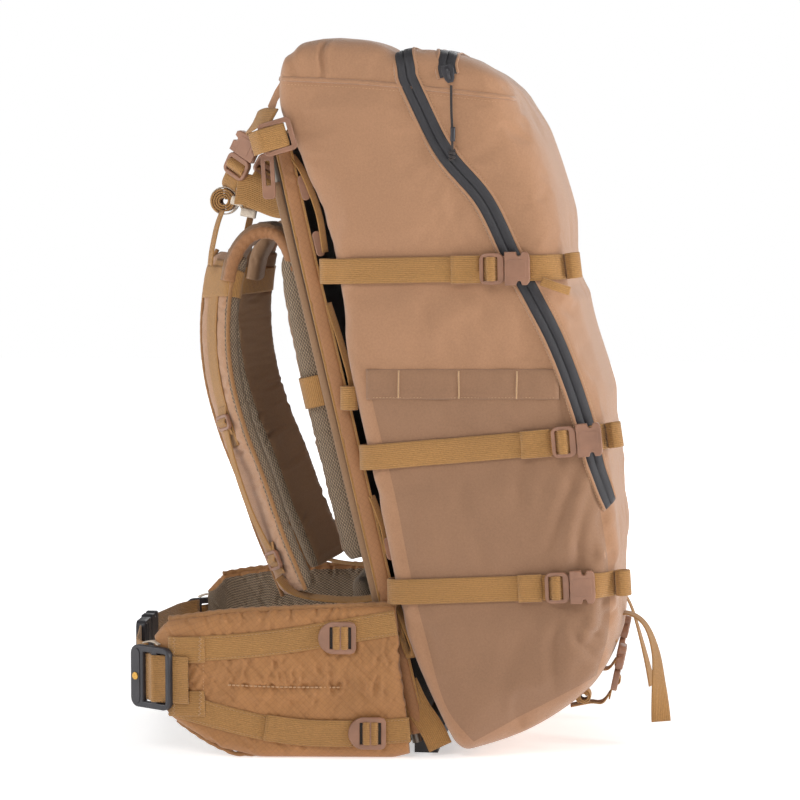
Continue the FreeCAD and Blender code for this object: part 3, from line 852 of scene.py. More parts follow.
def pinned_share(points):
    """How firmly each bag point is held: 1 on seams and under straps, 0 on open cloth."""
    flat = points[:, [0, 2]]
    hold = np.zeros(len(points))
    lines = [(side_line(ZIPPER_LINE), 9, 10), (side_line(COLLAR_SEAM), 1, 8),
             ([(-64, HEM_TOP), (128, HEM_TOP)], 2, 8)]
    for _, x0, z0, x1, z1, _ in STRAPS:
        lines.append(([(x0, z0), (x1 + 60, z1)], 12, 12))
    for line, flat_width, fade in lines:
        distance = distance_to_line(flat, line)
        hold = np.maximum(hold, np.clip(1 - (distance - flat_width) / fade, 0, 1))
    height = flat[:, 0] * math.cos(LEAN) + flat[:, 1] * math.sin(LEAN)
    return np.maximum(hold, np.clip((34 - height) / 10, 0, 1))


def make_bag():
    rows = bag_rows()
    bag = grid("bag", rows, "bag", "pack", close=True, caps=True)
    inflate(bag, pinned_share(rows.reshape(-1, 3)), 2.2, 6.0)
    subdivide(bag)
    press(bag, CREASES, [0, 2], lambda p: np.clip(np.abs(p[:, 1]) - 110, 0, 30) / 30)
    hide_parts("bag_back_panel", "bag_bottom_panel", "bag_front_panel",
                "bag_side_panel_left", "bag_side_panel_right", "bag_top_collar")
    return bag


class Skin:
    """Finds points on the bag's surface, in millimetres."""

    def __init__(self, piece):
        points = [v.co / MM for v in piece.data.vertices]
        self.tree = BVHTree.FromPolygons(points, [tuple(p.vertices) for p in piece.data.polygons])

    def side(self, x, z, sign=-1):
        start = Vector((x, sign * 400, z))
        hit, normal, _, _ = self.tree.ray_cast(start, Vector((0, -sign, 0)))
        if hit is None:
            hit, normal, _, _ = self.tree.find_nearest(Vector((x, sign * BAG_HALF, z)))
        return np.array(hit), np.array(normal)

    def toward(self, start, aim):
        start, aim = Vector(start), Vector(aim)
        hit, normal, _, _ = self.tree.ray_cast(start, (aim - start).normalized())
        if hit is None:
            hit, normal, _, _ = self.tree.find_nearest(aim)
        return np.array(hit), np.array(normal)

    def line(self, points, sign=-1, lift=0.0, step=5.0):
        """Path and normals along a line of (x, z) points on one side."""
        found = [self.side(x, z, sign) for x, z in curve(points, step)]
        path = np.array([f[0] for f in found])
        normals = unit(soften([f[1] for f in found], 4))
        return path + normals * lift, normals


# ---- zipper, seams and pocket --------------------------------------------------
ZIP_OVER_N = 149.0
ZIP_OVER_Y = (40, 70, 100, 124)
ZIP_CORNER = (143.0, 668.0)
ZIP_CORNER_TURNS = (82, 66, 50, 34, 18)
WELT = [(-9.6, 0), (-9.2, 1.0), (-5.4, 1.5), (-1.0, 1.7), (-0.4, 0.7), (0.4, 0.7), (1.0, 1.7),
        (5.0, 1.3), (8.4, 0.9), (8.8, 0), (0, -0.5)]
FINE_STITCH = {"length": 2.2, "gap": 1.2, "radius": 0.22}
FLAP = [(-1.7, -0.4), (-1.7, 0.8), (-0.6, 1.5), (0.8, 1.2), (1.9, 0.2), (0, -0.7)]


def teeth(name, path, normals, pitch):
    """Row of small tapered teeth along a path, joined in one mesh."""
    lengths = lengths_of(path)
    run = tangents(path)
    verts, faces = [], []
    block = [(-1, -1, 0), (1, -1, 0), (1, 1, 0), (-1, 1, 0),
             (-0.6, -0.7, 1), (0.6, -0.7, 1), (0.6, 0.7, 1), (-0.6, 0.7, 1)]
    sides = [(0, 1, 5, 4), (1, 2, 6, 5), (2, 3, 7, 6), (3, 0, 4, 7), (4, 5, 6, 7)]
    for at in np.arange(0, lengths[-1], pitch):
        index = min(int(np.searchsorted(lengths, at)), len(path) - 1)
        place = at_length(path, lengths, at)
        across = np.cross(run[index], normals[index])
        base = len(verts)
        for a, b, c in block:
            verts.append((place + run[index] * a * 0.42 + across * b * 0.85
                          + normals[index] * c * 0.5) * MM)
        faces += [tuple(base + k for k in face) for face in sides]
    mesh = bpy.data.meshes.new(name)
    mesh.from_pydata(verts, [], faces)
    mesh.update()
    return add_object(name, mesh, "zip_coil", "pack")


def zipper(skin, side, sign):
    """Black tape with two smooth welts, fine teeth in the gap and a rolled cloth rim."""
    rays = [((ZIP_OVER_N, -y, 800), (ZIP_OVER_N, -y, 640)) for y in ZIP_OVER_Y]
    for turn in np.radians(ZIP_CORNER_TURNS):
        y, s = ZIP_CORNER
        start = (ZIP_OVER_N, -y - 120 * math.cos(turn), s + 120 * math.sin(turn))
        rays.append((start, (ZIP_OVER_N, -y, s)))
    found = []
    for start, aim in rays:
        found.append(skin.toward(*mirror_set(leaned([start, aim]), sign)))
    flat = [tuple(p) for p in side_line(ZIPPER_LINE[1:])]
    path, normals = skin.line(flat, sign, 0.0, 4.0)
    path = np.vstack([[p for p, _ in found], path])
    normals = np.vstack([[n for _, n in found], normals])
    fine = curve(np.column_stack([path, normals * 100]), 3.0)
    path, normals = soften(fine[:, :3], 3), unit(soften(fine[:, 3:], 6))
    tape = sweep("zipper_tape_" + side, path + normals * 0.4, normals, WELT, "zip_tape", "pack")
    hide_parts("zipper_side_" + side)
    across = unit(np.cross(tangents(path), normals))
    for edge, tag in ((-1, "rear"), (1, "front")):
        flap = path + across * edge * 10.2 + normals * 0.2
        sweep("zipper_rim_" + tag + "_" + side, flap, normals, FLAP, "bag", "pack")
        row = path + across * edge * 12.6 + normals * 0.15
        stitches("zipper_stitch_" + tag + "_" + side, row, normals, **FINE_STITCH)
    teeth("zipper_teeth_" + side, path + normals * 1.0, normals, 1.5)


def make_pocket(skin, side, sign):
    """Lower side pocket: a second layer of stretch cloth with a hem band along its mouth."""
    edge_line = ZIPPER_LINE[5:] + FOLD_LINE[1:]
    front = curve(side_line([(n - 10.5, s) for n, s in edge_line] + [(190, 44)]), 3.0)
    front = front[front[:, 1] < HEM_TOP]
    rear = curve(side_line([(38, 396), (37, 330), (37, 262), (33, 183), (33, 118), (36, 50),
                            (54, 6)]), 3.0)
    rows = []
    for share in np.linspace(0, 1, 110):
        left = rear[int(share * (len(rear) - 1))]
        right = front[int(share * (len(front) - 1))]
        row = []
        for t in np.linspace(0, 1, 70):
            x, z = left * (1 - t) + right * t
            hit, normal = skin.side(x, z, sign)
            edge = min(1.0, 12 * min(t, 1 - t, 1.0001 - share) + 0.15)
            row.append(hit + normal * 1.3 * edge)
        rows.append(row)
    pocket = grid("pocket_cloth_" + side, rows, "pocket", "pack")
    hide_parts("side_pocket_" + side)
    hem = [(rear[0][0] + 1, 379.5), (0, 380), (70, 380.5), (front[0][0] + 2, 381)]
    path, normals = skin.line(hem, sign, 1.3, 5.0)
    band = [(-15, -0.8), (-15, 0.5), (-13.6, 1.3), (-8, 1.1), (0, 1.2), (8, 1.1), (13.4, 1.5),
            (15, 0.6), (15, -0.8)]
    piece = sweep("pocket_hem_" + side, path, normals, band, "pocket", "pack")
    low = [(x, z - 13.2) for x, z in hem]
    path, normals = skin.line(low, sign, 2.6, 5.0)
    stitches("pocket_hem_stitch_" + side, path, normals, **FINE_STITCH)
    for number, x in enumerate((-24, 36, 94)):
        path, normals = skin.line([(x, 366), (x, 380), (x, 394)], sign, 2.7, 3.0)
        sweep("pocket_bartack_%d_%s" % (number, side), path, normals,
              [(-0.9, -0.3), (-0.7, 0.5), (0.7, 0.5), (0.9, -0.3)], "thread", "pack")


def make_seams(skin):
    lap = [(-3.4, -0.4), (-3.0, 0.9), (0.4, 1.3), (1.4, 0.3), (0, -0.6)]
    for side, sign in SIDES:
        path, normals = skin.line([tuple(p) for p in side_line(COLLAR_SEAM)], sign, 0.1, 5.0)
        sweep("collar_seam_" + side, path, normals, lap, "bag", "pack")
        low = path - (0, 0, 4.5)
        stitches("collar_stitch_" + side, low + normals * 0.2, normals, **FINE_STITCH)


# ---- straps and side-release buckles --------------------------------------------
STRAP_W = 25.4
STRAP_T = 1.8
BUCKLE_HALF = 25.0
BUCKLE_THICK = 8.5


def socket_loops(height, half, soft):
    """Socket outline with the two finger notches."""
    h = height / 2 - soft
    a, b = half * 0.42, half * 0.72
    upper = [(soft, h), (a, h), (a + 1.2, h - 3.4), ((a + b) / 2, h - 4.6), (b - 1.2, h - 3.4),
             (b, h), (half - 3.5, h), (half - soft - 0.6, h - 2.2), (half - soft, h - 6)]
    return [upper + [(u, -v) for u, v in upper[::-1]]]


def buckle(name, place, height, half, thick, material, plug_body, socket_body, sign, nodes=()):
    """Both halves of a side-release buckle, drawn along its strap."""
    soft = 1.1
    h = height / 2
    outer = rounded_box(-half, -0.6, -h + 1, h - 1, 5.5, -soft)
    slots = [rounded_box(-half + 3.6, -half + 9.2, -h + 4.6, h - 4.6, 1.6, 0.7),
             rounded_box(-half + 13.2, -half + 18.2, -h + 4.6, h - 4.6, 1.6, 0.7)]
    plug = plate(name + "_plug", [outer] + slots, 0.4, thick - 1.2, soft, place, material,
                 plug_body, sign)
    prongs = []
    for low, high in ((-h + 3.6, -h + 8.0), (-2.2, 2.2), (h - 8.0, h - 3.6)):
        tongue = rounded_box(-2, 13, low, high, 1.6, -0.6)
        prongs.append(plate(name + "_prong", [tongue], 2.6, thick - 2.9, 0.6, place, material,
                            plug_body, sign))
    plug = join(name + "_plug", [plug] + prongs)
    socket = plate(name + "_socket", socket_loops(height, half, soft), 0, thick, soft, place,
                   material, socket_body, sign)
    face = rounded_box(half * 0.1, half * 0.86, -h + 7.5, h - 7.5, 3, -0.5)
    raised = plate(name + "_face", [face], thick - 0.8, thick + 0.35, 0.4, place, material,
                   socket_body, sign)
    socket = join(name + "_socket", [socket, raised])
    for piece, node in zip((plug, socket), nodes):
        if node:
            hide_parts(node)
    return plug, socket


def saddle(name, place, half, thick, width, body, sign):
    """Webbing that comes up through a ladder's slots and over its middle bar."""
    base = -half
    route = [(base - 9, 0.6), (base - 1.5, 0.7), (base + 3.8, 1.0), (base + 7.2, thick * 0.62),
             (base + 9.4, thick + 0.1), (base + 11.4, thick + 0.5), (base + 13.4, thick),
             (base + 15.8, thick * 0.5), (base + 18.5, 0.8)]
    return placed_sweep(name, route, width, 1.6, place, "webbing", body, sign)


def strap_path(skin, strap, sign, lift):
    """Path of one compression strap, from round the frame rail to the front of the bag."""
    _, x0, z0, x1, z1, _ = strap
    slope = (z1 - z0) / (x1 - x0)
    path = [(x0 + 10, -141, z0), (x0 + 1, -148, z0), (x0 - 1, -158, z0), (x0 + 5, -165, z0)]
    normals = [(-0.2, 0.9, 0), (-0.95, 0.2, 0), (-0.9, -0.4, 0), (-0.4, -0.9, 0)]
    corner_y = -(BAG_HALF - EDGE_FRONT)
    front, _ = skin.toward((400, corner_y, z1), (0, corner_y, z1))
    turn_x = front[0] - EDGE_FRONT
    for x in np.arange(x0 + 20, turn_x, 6.0):
        hit, normal = skin.side(x, z0 + (x - x0) * slope)
        path.append(hit + normal * lift)
        normals.append(normal)
    for degrees in np.arange(6, 76, 8):
        angle = math.radians(degrees)
        x = turn_x + EDGE_FRONT * math.sin(angle)
        aim = np.array([turn_x, corner_y, z0 + (x - x0) * slope])
        outward = np.array([math.sin(angle), -math.cos(angle), 0])
        hit, normal = skin.toward(aim + outward * 200, aim)
        path.append(hit + normal * lift)
        normals.append(normal)
    path = soften(path, 2)
    return mirror_set(path, sign), mirror_set(unit(soften(normals, 4)), sign)


def part_of(path, normals, low, high):
    """The part of a path whose X lies between two values."""
    keep = (path[:, 0] >= low) & (path[:, 0] <= high)
    return path[keep], normals[keep]


def strap_end(name, path, normals, tail):
    """Roll of spare webbing where a strap ends, and, when tail is set, a narrow webbing tail beside
    it.
    """
    end, out = path[-1], normals[-1]
    run = unit(path[-1] - path[-2])
    centre = end + out * 7.5 + run * 3.0
    points, outward = spiral(centre, 2.2, 7.2, 2.4, 0.4, (run, out))
    sweep(name + "_roll", points, outward, flat_profile(STRAP_W, 1.6), "webbing", "pack")
    if tail:
        height = end[2]
        route = curve([(end[0] - 22, -171.5, height - 14), (end[0] - 8, -172, height - 19),
                       (end[0] + 6, -166, height - 24)], 2.0)
        sweep(name + "_tail", route, (0.1, -1, 0.3), flat_profile(9, 1.4), "webbing", "pack")


def make_compression_straps(skin):
    for side, sign in SIDES:
        for strap in STRAPS:
            tag, x0, z0, x1, z1, at = strap
            path, normals = strap_path(skin, strap, sign, 2.6)
            name = "strap_%s_%s" % (tag, side)
            body = "%s_plug_%s" % (tag, side)
            rear, rear_n = part_of(path, normals, -400, at - 15)
            front, front_n = part_of(path, normals, at + 12, 400 if sign < 0 else x1 + 4)
            lead = sweep(name, rear, rear_n, flat_profile(STRAP_W, STRAP_T), "webbing", "pack")
            ahead = sweep(name + "_front", front, front_n, flat_profile(STRAP_W, STRAP_T),
                          "webbing", "pack")
            if tag == "upper":
                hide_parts("compression_straps_" + side)
            keep, keep_n = part_of(path + normals * 1.9, normals, at - 56, at - 24)
            sweep(name + "_keeper", keep, keep_n, flat_profile(STRAP_W + 2.2, 2.4), "webbing", body)
            if sign < 0:
                strap_end(name, front, front_n, tag == "upper")
            slope = (z1 - z0) / (x1 - x0)
            spot, _ = skin.side(at, z0 + (at - x0) * slope)
            place = axes((at, spot[1] - 4.6, spot[2]), (1, 0, slope), (0, -1, 0))
            buckle("buckle_%s_%s" % (tag, side), place, 33, BUCKLE_HALF, BUCKLE_THICK, "brown",
                   body, "pack", sign,
                   ("plug_%s_%s" % (tag, side),
                    "buckle_sockets" if (tag, side) == ("upper", "left") else None))
            saddle(name + "_saddle", place, BUCKLE_HALF, BUCKLE_THICK - 1.4, STRAP_W - 1.2,
                   body, sign)


# ---- hip belt ---------------------------------------------------------------------
BELT_HINGE = (-12.0, -152.0)
BELT_CORNER = (-228.0, -100.0)
BELT_CORNER_R = 70.0
BELT_FRONT = (-314.0, 0.0)
BELT_HALF_THICK = 9.0
WING_TOP = [(-28, 156), (-142, 151), (-204, 147), (-258, 139), (-273, 122)]
WING_LOW = [(-13, 4), (-30, 0), (-165, 0), (-205, 9), (-250, 36), (-273, 58)]
BELT_STRAPS = [[(-252, 110), (-154, 118), (-28, 139)],
               [(-252, 55), (-163, 32), (-90, 25), (-14, 30)]]
LADDERLOCKS = [("upper", -68, 124), ("lower", -38, 27)]
FRONT_Z = 87.0


def belt_plan():
    """Smooth plan of the left half of the belt: points and outward directions."""
    cx, cy = BELT_CORNER
    rear = np.linspace(BELT_HINGE, (cx, cy - BELT_CORNER_R), 40)
    turns = np.radians(np.arange(4, 91, 4))
    arc = np.column_stack([cx - BELT_CORNER_R * np.sin(turns), cy - BELT_CORNER_R * np.cos(turns)])
    front = np.linspace(arc[-1], BELT_FRONT, 18)[1:]
    plan = soften(np.vstack([rear, arc, front]), 3)
    run = tangents(plan)
    return plan, np.column_stack([-run[:, 1], run[:, 0]])


PLAN, PLAN_OUT = belt_plan()
PLAN_X = -PLAN[:, 0]


def belt_point(x, z, outside):
    """Point beside the belt's plan line, and its outward direction."""
    y = np.interp(-x, PLAN_X, PLAN[:, 1])
    out = unit(np.array([np.interp(-x, PLAN_X, PLAN_OUT[:, k]) for k in (0, 1)]))
    return np.array([x + out[0] * outside, y + out[1] * outside, z]), np.array([*out, 0.0])


def wing_edges(x):
    """Low and high edge of the wing at X; takes one value or an array."""
    low = np.interp(-x, [-a for a, _ in WING_LOW], [b for _, b in WING_LOW])
    high = np.interp(-x, [-a for a, _ in WING_TOP], [b for _, b in WING_TOP])
    return low, high


def wing_section(low, high, thick):
    """Rounded section from the low edge up the outside and down the inside: (z, out)."""
    r = min(thick, (high - low) / 2 - 0.1)
    points = [(low, 0.0)]
    for angle in np.radians((25, 50, 75)):
        points.append((low + r * (1 - math.cos(angle)), thick * math.sin(angle)))
    points += [(z, thick) for z in np.linspace(low + r, high - r, 24)]
    for angle in np.radians((75, 50, 25)):
        points.append((high - r * (1 - math.cos(angle)), thick * math.sin(angle)))
    outer = np.asarray(points)
    inner = outer[1:][::-1] * (1, -1)
    return np.vstack([outer, [(high, 0.0)], inner])


def wing_share(points):
    """Belt cloth is held at its edges, under the webbing and along a middle seam."""
    flat = points[:, [0, 2]]
    hold = np.zeros(len(points))
    lines = [(BELT_STRAPS[0], 11, 8), (BELT_STRAPS[1], 11, 8), ([(-200, 75), (-76, 73)], 0.5, 7)]
    for line, wide, fade in lines:
        hold = np.maximum(hold, np.clip(1 - (distance_to_line(flat, line) - wide) / fade, 0, 1))
    low, top = wing_edges(flat[:, 0])
    edge = np.minimum(top - flat[:, 1], flat[:, 1] - low)
    return np.maximum(hold, np.clip(1 - (edge - 2) / 8, 0, 1))


def make_wing():
    rows = []
    for x in np.concatenate([np.arange(-13.5, -262, -3.0), np.linspace(-262, -273, 6)]):
        low, high = wing_edges(x)
        end = min(1.0, 0.25 + math.sqrt(max(0.0, 273 + x)) / 3.2)
        row = []
        for z, out in wing_section(low, high, BELT_HALF_THICK * end):
            lean = 15 * z / 156 * max(0.0, 1 + (x + 13.5) / 90)
            row.append(belt_point(x - lean, z, out)[0])
        rows.append(row)
    wing = grid("wing_cloth_left", rows, ["belt", "mesh"], "belt_left", close=True, caps=True)
    width = len(rows[0])
    paint(wing, width, range(width // 2 + 2, width - 2), 1)
    inflate(wing, wing_share(np.asarray(rows).reshape(-1, 3)), 5.0, 5.0)
    subdivide(wing)
    folds = wrinkles(3, 60, (-240, -30, 46, 110), 24, 1.3, 3.0, 60)
    folds += wrinkles(4, 34, (-205, -70, 66, 82), 12, 1.6, 2.6, 85)
    folds += wrinkles(5, 34, (-235, -40, 128, 146), 18, 1.3, 2.8, 75)
    folds += wrinkles(8, 34, (-215, -40, 4, 22), 20, 1.3, 2.8, 100)
    for start in range(-300, 20, 27):
        folds.append(((start, 150), (start + 118, 20), 1.0, 1.5))
        folds.append(((start + 20, 4), (start + 100, 150), 0.7, 1.5))
    folds.append(((-198, 75), (-77, 73), 2.6, 4.0))
    press(wing, folds, [0, 2])
    for piece in both(wing, "belt_left", "belt_wing_left"):
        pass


def belt_line(points, outside, step=4.0):
    found = [belt_point(x, z, outside) for x, z in curve(points, step)]
    return np.array([f[0] for f in found]), np.array([f[1] for f in found])


def make_belt():
    make_wing()
    for tag, line in (("top", WING_TOP[:-1]), ("low", WING_LOW[1:-1])):
        path, _ = belt_line(line, 0.0, 1.5)
        if tag == "low":
            path[:, 2] = np.maximum(path[:, 2], 2.8)
        lengths = lengths_of(path)
        size = (3.6 if tag == "top" else 2.4) * (1 + 0.12 * np.sin(lengths * 2 * math.pi / 11))
        rim = np.array(round_profile(1.0, 12))[None] * size[:, None, None] * (0.9, 1.0)
        up = (0, 0, 1.0 if tag == "top" else -1.0)
        pair("belt_binding_%s_left" % tag, path, up, rim, "binding", "belt_left")
    for index, line in enumerate(BELT_STRAPS):
        path, out = belt_line(line, BELT_HALF_THICK + 0.2)
        strap = sweep("belt_webbing_%d_left" % index, path, out, flat_profile(STRAP_W, STRAP_T),
                      "webbing", "belt_left")
        both(strap, "belt_left", "" if index else "belt_webbing_left")
        path, out = belt_line([(line[0][0] - 1, line[0][1]), (line[0][0] + 32, line[0][1] + 1)],
                              BELT_HALF_THICK + 1.9)
        pair("belt_patch_%d_left" % index, path, out, flat_profile(STRAP_W + 1, 1.6), "webbing",
             "belt_left")
        for mark, shift in enumerate((4, 27)):
            x, z = line[0][0] + shift, line[0][1] + shift * 0.06
            path, out = belt_line([(x, z - 12), (x + 0.6, z), (x + 1, z + 12)],
                                  BELT_HALF_THICK + 3.5, 2.0)
            swing = np.where(np.arange(len(path)) % 2, 1.3, -1.3)
            zigzag = path + swing[:, None] * (1, 0, 0)
            pair("belt_zigzag_%d_%d_left" % (index, mark), zigzag, out, round_profile(0.45, 6),
                 "thread", "belt_left")
        for edge in (-10.6, 10.6):
            low = [(x, z + edge) for x, z in line]
            path, out = belt_line(low, BELT_HALF_THICK + 2.0)
            both(stitches("belt_stitch_%d_%s_left" % (index, "low" if edge < 0 else "top"), path,
                          out, "belt_left", 2.2, 1.3, 0.2), "belt_left")
    path, out = belt_line([(-198, 75), (-136, 73), (-77, 73)], BELT_HALF_THICK + 0.2)
    both(stitches("belt_seam_left", path, out, "belt_left", 3.4, 1.0, 0.8), "belt_left")
    for number, x in enumerate((-240, -222)):
        path, out = belt_line([(x, 66), (x + 0.5, 82), (x, 98)], BELT_HALF_THICK + 0.6, 2.0)
        both(stitches("belt_end_seam_%d_left" % number, path, out, "belt_left", 2.0, 1.4, 0.3),
             "belt_left")
    path, out = belt_line([(-160, 32), (-120, 27), (-72, 26)], BELT_HALF_THICK + 1.9)
    pair("belt_lap_left", path, out, flat_profile(STRAP_W + 1.5, 2.0), "webbing", "belt_left")
    make_ladderlocks()
    make_adjuster()
    make_front()


def make_ladderlocks():
    for tag, x, z in LADDERLOCKS:
        spot, out = belt_point(x, z, BELT_HALF_THICK + 2.2)
        along = (BELT_HINGE[0] - BELT_CORNER[0],
                 BELT_HINGE[1] - BELT_CORNER[1] + BELT_CORNER_R, 0)
        place = axes(spot, along, out)
        solid = [(-22 - 15 * math.cos(a), 15.2 * math.sin(a)) for a in np.linspace(-1.45, 1.45, 15)]
        outer = solid + [(-6, 15.2), (-2.6, 14), (-1.2, 11), (-1.2, -11), (-2.6, -14), (-6, -15.2)]
        loops = [outer, rounded_box(-27, -18, -11.5, 11.5, 1.6, 0.6),
                 rounded_box(-13, -4.4, -11.5, 11.5, 1.6, 0.6)]
        body = tag + "_ladderlock_left"
        lock = plate("ladder_frame_%s_left" % tag, loops, 0.2, 5.0, 1.2, place, "brown", body)
        both(lock, body, "ladderlock_%s_left" % tag)
        # painted shadow: thin near-black strips in the slots beside each bar, where the webbing
        # dips into the frame
        for number, u in enumerate((-25.0, -15.6, -6.4)):
            shadow = [rounded_box(u - 1.9, u + 1.9, -11.3, 11.3, 0.6)]
            plate_pair("ladder_gap_%s_%d_left" % (tag, number), shadow, -1.8, 3.3, 0.3, place,
                       "backing", body)
        route = [(-22.9, 0.8), (-21.5, 4.0), (-19.8, 5.2), (-17.8, 4.4), (-15.6, 2.2),
                 (-13.4, 4.4), (-11.6, 5.2), (-9.9, 4.0), (-8.5, 0.8)]
        placed_pair("ladder_strap_%s_left" % tag, route, 23.5, 1.6, place, "webbing", body)


def make_adjuster():
    turn = math.radians(33)
    out = np.array([-math.sin(turn), -math.cos(turn), 0])
    along = np.array([math.cos(turn), -math.sin(turn), 0])
    spot = np.array([*BELT_CORNER, FRONT_Z - 7]) + out * 80 + along * 24
    place = axes(spot, along, out)
    loops = [rounded_box(-54, 0, -32, 32, 8, -1.4), rounded_box(-37, -24, -26, 26, 2.5, 0.8),
             rounded_box(-18, -5, -26, 26, 2.5, 0.8)]
    body = "belt_left"
    plate_pair("adjuster_frame_left", loops, 0, 7, 1.4, place, "black", body,
               node="belt_adjuster_left")
    rim = rounded_box(-52, -40, -29, 29, 5, -1.0)
    plate_pair("adjuster_rib_left", [rim], 6.4, 7.9, 0.6, place, "black", body)
    rivet = [(-46 + 3.4 * math.cos(a), 3.4 * math.sin(a)) for a in np.arange(20) * math.pi / 10]
    plate_pair("adjuster_rivet_left", [rivet], 7.4, 8.9, 0.6, place, "brass", body)
    route = [(-52, -3.0), (-44, -1.5), (-38, 0.2), (-31, 2.0), (-25, 5.5), (-21, 8.2), (-17, 5.5),
             (-11, 2.5), (-4, 0.4), (4, -1.5), (16, -5)]
    placed_pair("adjuster_webbing_left", route, 48, 1.8, place, "webbing", body)
    loop = placed_sweep("adjuster_loop_left", [(-40, 33.2), (-33, 35.4), (-26, 35.4), (-19, 33.2)],
                        7, 1.3, axes(spot, along, (0, 0, 1)), "elastic", body, -1)
    both(loop, body)


def make_front():
    body = "belt_left"
    keep = (PLAN[:, 1] > -150) & (PLAN[:, 1] < -34) & (PLAN[:, 0] < -262)
    path = np.column_stack([PLAN[keep] + PLAN_OUT[keep] * 4.0, np.full(keep.sum(), FRONT_Z)])
    out = np.column_stack([PLAN_OUT[keep], np.zeros(keep.sum())])
    pair("belt_front_strap_left", path, out, flat_profile(50, 2), "webbing", body,
         node="belt_front_webbing_left")
    place = axes((-320, 0, FRONT_Z), (0, 1, 0), (-1, 0, 0))
    place = place @ Matrix.Translation((0, 0, -12 * MM))
    buckle("front_buckle", place, 60, 36, 12, "black", "belt_left", "belt_right", -1,
           ("waist_buckle_plug", "waist_buckle_socket"))


def make_lumbar():
    rows = []
    for s in np.concatenate([[4, 6, 10], np.arange(14, 178, 4.0), [180, 183, 185]]):
        share = min(1.0, 0.45 + math.sqrt(max(0.0, min(s - 4, 185 - s))) / 5.2)
        half = (118 - 14 * max(0, (s - 90) / 95) ** 2) * (0.86 + 0.14 * share)
        y = np.linspace(-half, half, 41)
        edge = np.clip(1 - (np.abs(y) / half) ** 6, 0, 1) ** 0.5
        groove = 4.5 * (np.exp(-((np.abs(y) - 34) / 7) ** 2) + np.exp(-((np.abs(y) - 82) / 6) ** 2))
        front = -28 - (15 - groove) * edge * share
        back = -28 + 13 * edge * share
        row = [(n, a, s) for n, a in zip(front, y)]
        row += [(n, a, s) for n, a in zip(back[-2:0:-1], y[-2:0:-1])]
        rows.append(row)
    points = leaned(np.asarray(rows))
    points[:, :, 2] = np.maximum(points[:, :, 2], 0.8)
    pad = grid("lumbar_cushion", points, "mesh", "pack", close=True, caps=True)
    subdivide(pad)
    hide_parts("lumbar_pad")


# ---- shoulder harness ---------------------------------------------------------------
PAD_LINE = [(-203, -85, 507), (-212, -90, 484), (-216, -98, 432), (-211, -104, 381),
            (-197, -108, 330), (-177, -112, 279), (-159, -115, 228), (-143, -117, 190),
            (-132, -118, 163)]
BACK_PAD_LINE = [(-137, -90, 506), (-135, -98, 480), (-124, -102, 422), (-111, -102, 364),
                 (-97, -102, 305), (-83, -102, 247), (-71, -102, 198)]
APEX_LINE = [(-207, -87, 478), (-203, -85, 498), (-196, -82, 514), (-186, -80, 526),
             (-174, -79, 532), (-161, -79, 532), (-149, -81, 525), (-140, -85, 511),
             (-135, -89, 494), (-132, -92, 472)]
PAD_TURN = math.radians(38)
PAD_ACROSS = (math.sin(PAD_TURN), -math.cos(PAD_TURN), 0)


def strip(line, across, offset=0.0, step=3.0, start=0.0, end=1.0):
    """Path and facing directions of a strip along a line, a distance off its middle."""
    path = curve(line, step)
    low, high = int(start * (len(path) - 1)), int(end * (len(path) - 1)) + 1
    path = path[low:high]
    normals = unit(np.cross(tangents(path), np.asarray(across, float)))
    return path + normals * offset, normals


def soft_strap(name, line, across, width, thick, body, node, wave, cloths):
    """Padded strap: crowned cloth face, mesh walls, plain back, held at edges and middle."""
    path, normals = strip(line, across)
    section = pad_profile(width, thick, 40, 0.4)
    taper = np.minimum(1, 0.5 + np.minimum(np.arange(len(path)), np.arange(len(path))[::-1]) / 8)
    sections = section[None] * np.stack([0.9 + 0.1 * taper, taper], axis=1)[:, None]
    pad = sweep(name, path, normals, sections, cloths, body)
    wall = [k for k in range(40) if abs(section[k][1] + section[(k + 1) % 40][1]) < 0.86 * thick]
    back = [k for k in range(40) if k not in wall and section[k][1] < 0]
    paint(pad, 40, wall, 1)
    # the back takes the third cloth, here the darker pad copy that is painted shade
    paint(pad, 40, back, 2)
    side = np.abs(section[:, 0]) / (width / 2)
    hold = np.maximum(np.clip((side - 0.86) / 0.1, 0, 1), np.clip(1 - side / 0.3, 0, 1) * 0.8)
    inflate(pad, np.tile(hold, len(path)), 6.0, 3.0, shrink=-0.03)
    subdivide(pad)
    press(pad, wrinkles(wave, 70, (-220, -60, 160, 510), 24, 1.0, 3.0, 20), [0, 2])
    for piece in both(pad, body, node):
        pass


def edge_binding(name, line, across, width, body, rise, material="binding", radius=2.2,
                 ends=(-1, 1)):
    """Taped edge along both sides of a pad's face."""
    path, normals = strip(line, across, rise, 1.5)
    side = unit(np.cross(tangents(path), normals))
    swell = 1 + 0.03 * np.sin(lengths_of(path) * 2 * math.pi / 9)
    rim = np.array(round_profile(radius, 10))[None] * swell[:, None, None]
    for edge in ends:
        tag = "in" if edge < 0 else "out"
        pair("%s_%s_left" % (name, tag), path + side * edge * (width / 2 - 1.0), normals, rim,
             material, body)


